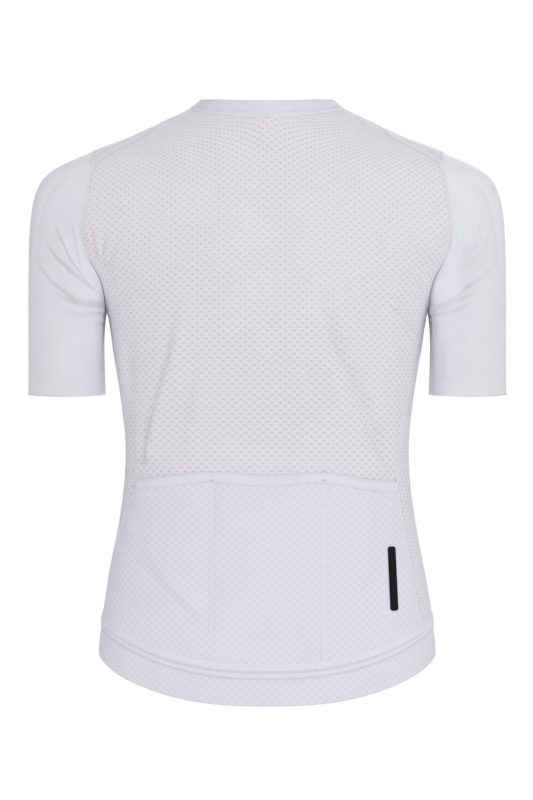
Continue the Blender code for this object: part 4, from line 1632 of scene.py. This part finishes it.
    def trims(self) -> list[Piece]:
        """Makes the sleeve's own seam, its armhole seam and the stitches on both.

        Returns:
            The pieces.
        """
        path, out = self.seam_path(12)
        ring, ring_out = self.armhole_path()
        seam = WARDROBE.piece(f"sleeve_seam_{self.word}", *self.seam_welt.along(path, out), Finish.SEAM)
        round_it = self.armhole_welt.along(ring, ring_out, loop=True)
        welt = WARDROBE.piece(f"armhole_seam_{self.word}", *round_it, Finish.SEAM)
        rows = STITCH.beside(ring, ring_out, 2.1 * MM, 0.55 * MM)
        rows += STITCH.beside(path, out, 1.5 * MM, 0.45 * MM)
        return [seam, welt, WARDROBE.piece(f"sleeve_stitches_{self.word}", *joined(rows), Finish.THREAD)]


@dataclass
class Collar:
    """A low stand collar of doubled smooth cloth: it swells softly, and a welt covers the neckline seam."""

    body: Body
    wall: float = 1.7 * MM
    rows: int = 12
    columns: int = 300
    gap: float = 0.12 * MM
    swell: float = 0.35 * MM
    wave: float = 0.12 * MM
    welt: Welt = Welt(1.4 * MM, 0.95 * MM)
    stitch_rows: tuple[tuple[float, float], ...] = ((18.83, 0.55 * MM), (19.16, 1.1 * MM), (19.86, 1.1 * MM))

    def build(self) -> list[Piece]:
        """Makes the collar, its seam and its stitches, whose rows are each a station and a lift.

        Returns:
            The pieces.
        """
        start = float(BODY.front_angle(np.array(SEAMS.zip_half_gap), np.array(COLLAR_SEAM)))
        round_it = np.linspace(start, math.pi - start, self.columns)
        angle, station = np.meshgrid(round_it, np.linspace(COLLAR_SEAM, COLLAR_TOP, self.rows))
        swell = self.swell * np.sin(math.pi * (station - COLLAR_SEAM)) + self.wave * np.sin(angle * 9)
        points, _ = self.body.surface(angle, station, swell)
        made = WARDROBE.cloth("collar_band", inset(points, self.gap, "b"), CLOTH_MAP.uv(angle, station),
                              self.wall, Finish.COLLAR, ("collar",))
        seam = self.welt.along(*self.body.line(round_it, COLLAR_SEAM))
        welt = WARDROBE.piece("neckline_seam", *seam, Finish.SEAM)
        rows = [STITCH.row(*self.body.line(round_it, at, up)) for at, up in self.stitch_rows]
        return [made, welt, WARDROBE.piece("neck_stitches", *joined(rows), Finish.THREAD)]


@dataclass(frozen=True)
class Divider:
    """A stitched line that parts two pockets, under a narrow tape.

    Attributes:
        x: How far it is from the middle of the back.
        bottom: The height where it ends.
        aside: How far its two rows of stitches are from its middle.
        lift: How far they stand off the pocket.
    """

    word: str
    x: float
    bottom: float
    tape: Welt
    aside: float
    lift: float


@dataclass(frozen=True)
class StripCut:
    """The reflective strip: a slim bar with round corners, which leans outwards from its top's (x, z)."""

    top: tuple[float, float] = (0.1321, -0.4483)
    half_width: float = 4.15 * MM
    corner: float = 2.6 * MM
    length: float = 68.0 * MM
    lean: float = 3.0 * MM
    wall: float = 0.7 * MM
    lift: float = 0.95 * MM
    dome: float = 0.12 * MM
    columns: int = 9
    straight_rows: int = 39
    corner_rows: int = 12

    def outline(self) -> tuple[Array, Array]:
        """Works out how wide it is down its length: a quarter circle at the corners.

        Returns:
            Distances below its top, and the half width at each.
        """
        turn = np.linspace(0, math.pi / 2, self.corner_rows)
        into = self.corner * (1 - np.cos(turn))
        straight = np.linspace(self.corner, self.length - self.corner, self.straight_rows)[1:-1]
        down = np.concatenate([into, straight, (self.length - into)[::-1]])
        end = np.minimum(np.minimum(down, self.length - down), self.corner)
        missing = self.corner - np.sqrt(np.maximum(self.corner**2 - (self.corner - end) ** 2, 0))
        return down, self.half_width - missing


@dataclass
class Pockets:
    """Three rear pockets: one panel over the lower back, its binding, two dividers and the reflective strip.

    Attributes:
        laid_on: How far the panel lies off the back where it is sewn down.
        bulge: How much further it stands at a mouth's middle.
        least_gap: What a trough may sink besides that.
        bay_edge: How far from the middle of the back the middle pocket ends.
        tucked: How far the panel runs up under the binding.
        stitch_shares: Where the binding's rows of stitches run, from its lower edge.
    """

    body: Body
    wall: float = 0.9 * MM
    binding_wall: float = 1.3 * MM
    laid_on: float = 1.70 * MM
    bulge: float = 2.0 * MM
    least_gap: float = 0.55 * MM
    bay_edge: float = 59.5 * MM
    outer_bay: float = 80 * MM
    binding_height: float = 12.0 * MM
    tucked: float = 1.6 * MM
    columns: int = 172
    rows: int = 92
    binding_rows: int = 12
    gap: float = 0.1 * MM
    fold_gain: float = 1.6
    dividers: tuple[Divider, ...] = (
        Divider("left", -0.0592, -0.5385, Welt(2.4 * MM, 0.16 * MM, 0.25 * MM, 14), 2.7 * MM, 0.50 * MM),
        Divider("right", 0.0606, -0.572, Welt(3.6 * MM, 0.16 * MM, 0.25 * MM, 14), 4.1 * MM, 0.36 * MM),
    )
    tack_thread: Thread = Thread(2.0 * MM, 0.22 * MM, 0.1 * MM)
    stitch_shares: tuple[float, float] = (0.14, 0.40)
    strip: StripCut = StripCut()
    field: FoldField = field(init=False)

    def __post_init__(self) -> None:
        """Lays the pockets' own folds on the back."""
        angle, station = np.meshgrid(np.radians(np.arange(0, 181, 2.0)), np.linspace(0, 6, 80))
        form, out = BODY.points(angle, station), BODY.normals(angle, station)
        self.field = FoldField(form, out, POCKET_FOLDS, self.fold_gain)

    def rise(self, x: Array, z: Array) -> Array:
        """How far the panel stands off the back: a parabola across each bay, most at the mouths.

        Args:
            x: Distances from the middle of the back.
            z: Heights.

        Returns:
            Metres beyond laid_on.
        """
        past = (np.abs(x) - self.bay_edge) / self.outer_bay
        across = np.where(np.abs(x) < self.bay_edge, 1 - (x / self.bay_edge) ** 2, 4 * past * (1 - past))
        return self.bulge * np.clip(across, 0, 1) * smooth_step((z + 0.540) / 0.170)

    def back_angles(self, station: Array) -> Array:
        """Angles of the panel's columns at these stations: shares between the back's edges.

        Args:
            station: Stations, with the columns last.

        Returns:
            Angles in radians.
        """
        share = np.linspace(0, 1, self.columns)
        right = smooth_between(SEAMS.back_edge(RIGHT), station - 1)[..., 0]
        left = 180 - smooth_between(SEAMS.back_edge(LEFT), station - 1)[..., 0]
        return np.radians(right * (1 - share) + left * share)

    def edge(self, drop: float) -> Array:
        """Follows the mouths' edge, or a line below it, closing in on it from the pockets' station.

        Args:
            drop: How far below the edge.

        Returns:
            A station for each column.
        """
        fine = smooth_between(SEAMS.pocket_top, np.linspace(0, len(SEAMS.pocket_top) - 1, 200))
        station = np.full(self.columns, 5.0)
        for _ in range(8):
            x = BODY.points(self.back_angles(station), station)[:, 0]
            station = BODY.back_place(x, np.interp(x, fine[:, 0], fine[:, 1]) - drop)[1]
        return station

    def surface(self, angle: Array, station: Array, lift: float | Array = 0.0) -> Line:
        """The folded pocket cloth. Troughs stop short of the back: room * tanh(depth / room).

        Args:
            angle: Angles in radians.
            station: Stations.
            lift: Metres further out.

        Returns:
            The points, and the normals there.
        """
        flat = BODY.points(angle, station)
        rise = self.rise(flat[..., 0], flat[..., 2])
        fade = smooth_step((station - 1.0) / 0.6) * smooth_step((5.3 - station) / 0.5)
        own = self.field.height(flat) * fade
        room = rise + self.least_gap
        own = np.where(own < 0, room * np.tanh(own / room), own)
        return self.body.surface(angle, station, self.laid_on + rise + own + lift)

    def grid(self, low: Array, high: Array, rows: int) -> Places:
        """Spreads rows evenly between two lines of stations.

        Args:
            low: The lower line.
            high: The upper line.
            rows: Number of rows.

        Returns:
            Angles and stations.
        """
        share = np.linspace(0, 1, rows)[:, None]
        station = low * (1 - share) + high * share
        return self.back_angles(station), station

    def build(self) -> list[Piece]:
        """Makes the panel, the binding and what lies on them.

        Returns:
            The pieces.
        """
        mouth, under = self.edge(0.0), self.edge(self.binding_height)
        top = self.edge(self.binding_height - self.tucked)
        angle, station = self.grid(np.ones(self.columns), top, self.rows)
        points, _ = self.surface(angle, station)
        panel = WARDROBE.cloth("pocket_cloth", inset(points, self.gap, "btfl"), CLOTH_MAP.uv(angle, station),
                               self.wall, Finish.POCKET, ("pocket_panel",))
        strip, tapes, thread = self.strip_piece(), self.tapes(), self.stitches(under, mouth)
        return [panel, self.binding(under, mouth), *tapes, thread, strip]

    def binding(self, under: Array, mouth: Array) -> Piece:
        """Makes the binding: it is crowned, and its upper third curls over onto the back.

        Args:
            under: Stations of its lower edge.
            mouth: Stations of its upper edge.

        Returns:
            The binding.
        """
        angle, station = self.grid(under, mouth, self.binding_rows)
        share = np.linspace(0, 1, self.binding_rows)[:, None]
        flat = BODY.points(angle, station)
        stand = self.laid_on + self.rise(flat[..., 0], flat[..., 2]) - 1.15 * MM
        raised, crown = 0.3 * MM, 0.45 * MM * np.sin(math.pi * share)
        curl = (stand + raised) * smooth_step((share - 0.66) / 0.34)
        points, _ = self.surface(angle, station, crown + raised - curl)
        made = WARDROBE.cloth("binding_band", inset(points, self.gap, "btfl"), CLOTH_MAP.uv(angle, station),
                              self.binding_wall, Finish.BINDING, ("pocket_binding",))
        return made

    def down_line(self, x: float, top: float, bottom: float, lift: float) -> Line:
        """A straight line down the pockets.

        Args:
            x: How far it is from the middle of the back.
            top: The height where it starts.
            bottom: The height where it ends.
            lift: How far it stands off the pocket.

        Returns:
            Its points, and the normals there.
        """
        points, out = self.surface(*BODY.back_place(np.full(120, x), np.linspace(top, bottom, 120)), lift)
        return evenly(points, 1.5 * MM, out)

    def tapes(self) -> list[Piece]:
        """Makes a narrow tape over each divider, from the binding down.

        Returns:
            The tapes.
        """
        made = []
        for divider in self.dividers:
            tape = divider.tape.along(*self.down_line(divider.x, -0.3675, divider.bottom, 0.40 * MM))
            made.append(WARDROBE.piece(f"divider_{divider.word}", *tape, Finish.DIVIDER))
        return made

    def tack(self, x: float) -> MeshData:
        """A bar of thread where a divider meets the mouths, sewn across it.

        Args:
            x: How far it is from the middle of the back.

        Returns:
            The points and the faces.
        """
        across = x + np.linspace(-2.2, 2.2, 8) * MM
        path, out = self.surface(*BODY.back_place(across, np.full(8, -0.3765)), 1.45 * MM)
        turned = np.cross(out, unit(np.gradient(path, axis=0)))
        return self.tack_thread.laid(path, turned, out)

    def stitches(self, under: Array, mouth: Array) -> Piece:
        """Makes the rows beside each divider and along the binding, and the tacks, as one piece.

        Args:
            under: Stations of the binding's lower edge.
            mouth: Stations of its upper edge.

        Returns:
            The piece.
        """
        rows = []
        for divider in self.dividers:
            for way in (-1, 1):
                x = divider.x + way * divider.aside
                rows.append(STITCH.row(*self.down_line(x, -0.3690, divider.bottom, divider.lift)))
            rows.append(self.tack(divider.x))
        for share in self.stitch_shares:
            station = under * (1 - share) + mouth * share
            line, out = self.surface(self.back_angles(station), station, 1.15 * MM)
            rows.append(STITCH.row(*evenly(line, TRIM_STEP, out)))
        return WARDROBE.piece("pocket_stitches", *joined(rows), Finish.THREAD)

    def strip_piece(self) -> Piece:
        """Makes the reflective strip, laid on the pocket and domed as 1 - across^4.

        Returns:
            The strip.
        """
        strip = self.strip
        down, half_width = strip.outline()
        across = np.linspace(-1, 1, strip.columns)
        x = strip.top[0] + strip.lean * down[:, None] / strip.length + half_width[:, None] * across
        z = strip.top[1] - down[:, None] + 0 * across
        angle, station = BODY.back_place(x, z)
        points, _ = self.surface(angle, station, strip.lift + strip.dome * (1 - across**4))
        uv = np.stack([x, z - strip.top[1]], axis=-1)
        return WARDROBE.cloth("reflective_bar", points[:, ::-1], uv[:, ::-1], strip.wall, Finish.STRIP,
                              ("reflective_strip",))


@dataclass
class BodySeams:
    """Flat seams on the body: both sides, both shoulders and the hem."""

    body: Body
    pockets: Pockets
    side_welts: tuple[tuple[int, Welt], ...] = (
        (RIGHT, Welt(2.9 * MM, 0.55 * MM, ring=14)),
        (LEFT, Welt(2.6 * MM, 0.55 * MM, ring=14)),
    )
    shoulder_welt: Welt = Welt(1.5 * MM, 0.9 * MM)
    hem_seam: Welt = Welt(3.5 * MM, 0.72 * MM, 0.6 * MM, 16)
    hem_edge: Welt = Welt(4.0 * MM, 0.75 * MM, ring=16)
    hem_stitches: tuple[tuple[float, float], ...] = ((0.975, 1.25 * MM), (0.855, 1.15 * MM))

    def side_path(self, side: int) -> Line:
        """The side seam from the band to the armpit, lifted over the pocket panel's edge.

        Args:
            side: RIGHT or LEFT.

        Returns:
            Its points, and the normals there.
        """
        places = smooth_between(SEAMS.side(side), np.linspace(0.05, 8.75, 260))
        over = self.pockets.laid_on * smooth_step((5.12 - places[:, 1]) / 0.24)
        return self.body.line(on_side(np.radians(places[:, 0]), side), places[:, 1], over + 0.35 * MM)

    def shoulder_path(self, side: int) -> Line:
        """The shoulder seam, from beside the armhole to the collar.

        Args:
            side: RIGHT or LEFT.

        Returns:
            Its points, and the normals there.
        """
        knots = np.linspace(0.04, len(SEAMS.shoulder) - 1.05, 90)
        places = smooth_between(SEAMS.shoulder, knots)
        return self.body.line(on_side(np.radians(places[:, 0]), side), places[:, 1])

    def hem_angles(self) -> Array:
        """Angles along the hem from one side of the zip to the other."""
        start = float(BODY.front_angle(np.array(SEAMS.zip_half_gap + 0.9 * MM), np.array(1.0)))
        return np.linspace(start, math.pi - start, 380)

    def hem_edge_path(self) -> Line:
        """The doubled edge above the hem seam, which climbs onto the pocket panel between the side seams.

        Returns:
            Its points, and the normals there.
        """
        angle = self.hem_angles()
        seams = (smooth_between(SEAMS.side(side), np.array(0.125))[0] for side in (RIGHT, LEFT))
        right, left = (math.radians(seam) for seam in seams)
        climb = 0.03
        on_pocket = (smooth_step((angle - right + climb) / climb)
                     * smooth_step((math.pi - left - angle + climb) / climb))
        return self.body.line(angle, 1.125, 0.25 * MM + self.pockets.laid_on * on_pocket)

    def build(self) -> list[Piece]:
        """Makes the seams and their stitches.

        Returns:
            The pieces.
        """
        made, rows = [], []
        for side, welt in self.side_welts:
            word = SIDE_WORD[side]
            path, out = self.side_path(side)
            made.append(WARDROBE.piece(f"side_seam_{word}", *welt.along(path, out), Finish.SEAM))
            rows += STITCH.beside(path, out, welt.half_width - 0.5 * MM, 0.35 * MM)
            path, out = self.shoulder_path(side)
            shoulder = self.shoulder_welt.along(path, out)
            made.append(WARDROBE.piece(f"shoulder_seam_{word}", *shoulder, Finish.SEAM))
            rows += STITCH.beside(path, out, 2.2 * MM, 0.5 * MM)
        angle = self.hem_angles()
        rows += [STITCH.row(*self.body.line(angle, station, up)) for station, up in self.hem_stitches]
        seam = self.hem_seam.along(*self.body.line(angle, 0.958, 0.80 * MM))
        made.append(WARDROBE.piece("hem_seam", *seam, Finish.BINDING))
        made.append(WARDROBE.piece("hem_welt", *self.hem_edge.along(*self.hem_edge_path()), Finish.BINDING))
        made.append(WARDROBE.piece("body_stitches", *joined(rows), Finish.THREAD))
        return made


@dataclass
class Zip:
    """The closed zip: two woven tapes behind the fronts, two coils, their core, and a row of stitches a side.

    Attributes:
        tape: How far from the middle a tape starts and ends.
        pitch: From one turn of a coil to the next.
        coil_lean: How far each turn leans along the zip for a unit across it.
    """

    body: Body
    tape: tuple[float, float] = (2.9 * MM, 15.0 * MM)
    tape_length: float = 0.54
    tape_wall: float = 0.7 * MM
    tape_lift: float = -1.9 * MM
    rows: int = 240
    pitch: float = 1.25 * MM
    core: Welt = Welt(2.55 * MM, 0.35 * MM, 0.9 * MM, 12)
    turn_of_coil: Thread = Thread(3.0 * MM, 0.40 * MM, 0.28 * MM)
    coil_aside: float = 1.05 * MM
    coil_lean: float = 0.18
    stitch_aside: float = 7.6 * MM

    def strip(self, x: Array, low: float, high: float, lift: float) -> Line:
        """A strip of the unfolded front.

        Args:
            x: Its columns' distances from the middle.
            low: The station of its first row.
            high: The station of its last row.
            lift: How far it lies off the form.

        Returns:
            The points, and the normals there.
        """
        x, station = np.meshgrid(x, np.linspace(low, high, self.rows))
        angle = BODY.front_angle(x, station)
        out = BODY.normals(angle, station)
        return BODY.points(angle, station) + out * lift, out

    def tape_piece(self, side: int) -> Piece:
        """Makes one tape.

        Args:
            side: RIGHT or LEFT.

        Returns:
            The tape.
        """
        x = np.sort(np.linspace(*self.tape, 7) * side)
        points, _ = self.strip(x, 0.1, 19.92, self.tape_lift)
        up = np.linspace(0, self.tape_length, self.rows)
        uv = np.stack(np.broadcast_arrays(x[None, :], up[:, None]), axis=-1)
        word = SIDE_WORD[side]
        tape = WARDROBE.cloth(f"zip_tape_{word}_weave", points, uv, self.tape_wall, Finish.TAPE,
                              (f"zip_tape_{word}",))
        return tape

    def chain(self) -> list[Piece]:
        """Makes the coils, a turn of each at every pitch and half a pitch apart, and the core under them.

        Returns:
            The core and the coils.
        """
        middle, out = self.strip(np.array([1e-6]), 0.14, 19.42, -0.45 * MM)
        path, normal = evenly(middle[:, 0], self.pitch, out[:, 0])
        normal = unit(normal)
        under = self.core.along(path, normal)
        core = WARDROBE.piece("zip_core", *under, Finish.TAPE, replaces=("zip_chain",))
        along = unit(np.gradient(path, axis=0))
        across = unit(np.cross(normal, along))
        coils = []
        for way in (-1, 1):
            aside, forward = self.coil_aside * way, self.pitch * 0.25 * way
            centre = path + across * aside + along * forward + normal * 0.30 * MM
            coils.append(self.turn_of_coil.laid(centre, across + along * self.coil_lean * way, normal))
        return [core, WARDROBE.piece("zip_coil", *joined(coils), Finish.COIL)]

    def stitches(self) -> Piece:
        """Makes a row of stitches on each front beside the zip.

        Returns:
            The piece.
        """
        station = np.linspace(1.05, 18.95, 500)
        rows = []
        for side in (RIGHT, LEFT):
            angle = BODY.front_angle(np.full(500, self.stitch_aside * side), station)
            rows.append(STITCH.row(*self.body.line(angle, station, 0.50 * MM)))
        return WARDROBE.piece("zip_stitches", *joined(rows), Finish.THREAD)

    def build(self) -> list[Piece]:
        """All of the zip but its slider and tab."""
        return [self.tape_piece(RIGHT), self.tape_piece(LEFT), *self.chain(), self.stitches()]


@dataclass(frozen=True)
class Hardware:
    """The slider and its pull tab, whose CAD shapes stay and take their enamel here."""

    finishes: tuple[tuple[str, Finish], ...] = (("zip_slider", Finish.SLIDER), ("pull_tab", Finish.TAB))

    def dress(self) -> None:
        """Gives both CAD nodes their material."""
        for node, finish in self.finishes:
            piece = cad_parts[node]
            piece.data.materials.clear()
            piece.data.materials.append(WARDROBE.material(finish))
            LOG.info("%s: dressed", node)


# ---------------------------------------------------------------- the studio


@dataclass(frozen=True)
class Softbox:
    """A large soft lamp, aimed at a point."""

    name: str
    place: tuple[float, float, float]
    size: float
    watts: float
    colour: Colour = (1.0, 1.0, 1.0)
    aim: tuple[float, float, float] = (0.0, 0.0, -0.28)

    def build(self) -> None:
        """Hangs the lamp. A lamp shines along its -Z, so it is tilted from upright and then turned."""
        data = bpy.data.lights.new(self.name, "AREA")
        data.shape, data.size, data.energy, data.color = "SQUARE", self.size, self.watts, self.colour
        lamp = bpy.data.objects.new(self.name, data)
        bpy.context.scene.collection.objects.link(lamp)
        lamp.location = self.place
        back = np.array(self.place) - np.array(self.aim)
        turn = math.atan2(back[0], -back[1])
        lamp.rotation_euler = (math.atan2(math.hypot(back[0], back[1]), back[2]), 0.0, turn)


@dataclass(frozen=True)
class Studio:
    """A white studio: floor, even surround, soft lamps and the camera."""

    floor_level: float = -0.95
    floor_rings: tuple[float, ...] = (0.3, 0.6, 0.9, 1.2, 1.5)
    floor_sides: int = 96
    ambient: Colour = (0.960, 0.950, 1.0)
    ambient_strength: float = 0.545
    softboxes: tuple[Softbox, ...] = (
        Softbox("key", (1.7, -2.5, 0.8), 1.2, 13.5),
        Softbox("low", (0.2, -3.0, -0.1), 0.9, 9.5),
        Softbox("side", (2.7, -0.5, 0.2), 0.9, 5.8),
        Softbox("fill", (-2.3, -1.9, 0.0), 1.6, 9.5, (1.0, 0.98, 1.0)),
        Softbox("top", (0.0, -0.2, 2.2), 1.4, 6.0),
        Softbox("front", (0.3, 3.0, 0.8), 1.8, 34.0),
    )
    camera_place: tuple[float, float, float] = (-0.0008, -3.40, -0.290)
    lens: float = 139.09

    def floor(self) -> None:
        """Lays a round floor: rings of radius * cos(t) and radius * sin(t), and one face in the middle."""
        turn = np.linspace(0, 2 * math.pi, self.floor_sides + 1)[:-1]
        radius = np.array(self.floor_rings)[:, None]
        across, along = radius * np.cos(turn), radius * np.sin(turn)
        points = np.stack([across, along, np.full_like(across, self.floor_level)], axis=-1)
        middle = list(range(self.floor_sides))
        faces = grid_faces(len(self.floor_rings), self.floor_sides, ring=True).tolist() + [middle]
        mesh = bpy.data.meshes.new("floor")
        mesh.from_pydata(points.reshape(-1, 3).tolist(), [], faces)
        mesh.materials.append(FloorFinish().made("floor_paper"))
        floor = bpy.data.objects.new("floor", mesh)
        bpy.context.scene.collection.objects.link(floor)

    def surround(self) -> None:
        """Makes an even surround: white where it is seen, dimmer as a light."""
        scene = bpy.context.scene
        world = scene.world or bpy.data.worlds.new("surround")
        scene.world = world
        world.use_nodes = True
        tree = world.node_tree
        tree.nodes.clear()
        seen, lit = (tree.nodes.new("ShaderNodeBackground") for _ in range(2))
        seen.inputs[0].default_value, seen.inputs[1].default_value = (1.0, 1.0, 1.0, 1.0), 1.0
        lit.inputs[0].default_value, lit.inputs[1].default_value = (*self.ambient, 1.0), self.ambient_strength
        ray = tree.nodes.new("ShaderNodeLightPath")
        mix = tree.nodes.new("ShaderNodeMixShader")
        out = tree.nodes.new("ShaderNodeOutputWorld")
        tree.links.new(ray.outputs["Is Camera Ray"], mix.inputs[0])
        tree.links.new(lit.outputs[0], mix.inputs[1])
        tree.links.new(seen.outputs[0], mix.inputs[2])
        tree.links.new(mix.outputs[0], out.inputs[0])

    def camera(self) -> None:
        """Sets up the camera, level and square to the back."""
        data = bpy.data.cameras.new("camera")
        data.lens, data.sensor_width, data.sensor_fit = self.lens, 36.0, "AUTO"
        camera = bpy.data.objects.new("camera", data)
        bpy.context.scene.collection.objects.link(camera)
        camera.location = self.camera_place
        camera.rotation_euler = (math.pi / 2, 0.0, 0.0)
        bpy.context.scene.camera = camera

    def build(self) -> None:
        """Sets everything up."""
        bpy.context.scene.view_settings.view_transform = "Standard"
        self.floor()
        self.surround()
        for lamp in self.softboxes:
            lamp.build()
        self.camera()


def main() -> None:
    """Builds the jersey round its frame, then the studio."""
    logging.basicConfig(level=logging.INFO, format="%(name)s: %(message)s")
    body = Body()
    body.build()
    for side, folds in ((RIGHT, RIGHT_SLEEVE_FOLDS), (LEFT, LEFT_SLEEVE_FOLDS)):
        sleeve = Sleeve(side, body, folds + mirrored(folds[2:6], Face.FRONT, 0.7, 6.0))
        sleeve.build()
        sleeve.trims()
    Collar(body).build()
    pockets = Pockets(body)
    pockets.build()
    BodySeams(body, pockets).build()
    Zip(body).build()
    Hardware().dress()
    Studio().build()


if __name__ == "__main__":
    main()
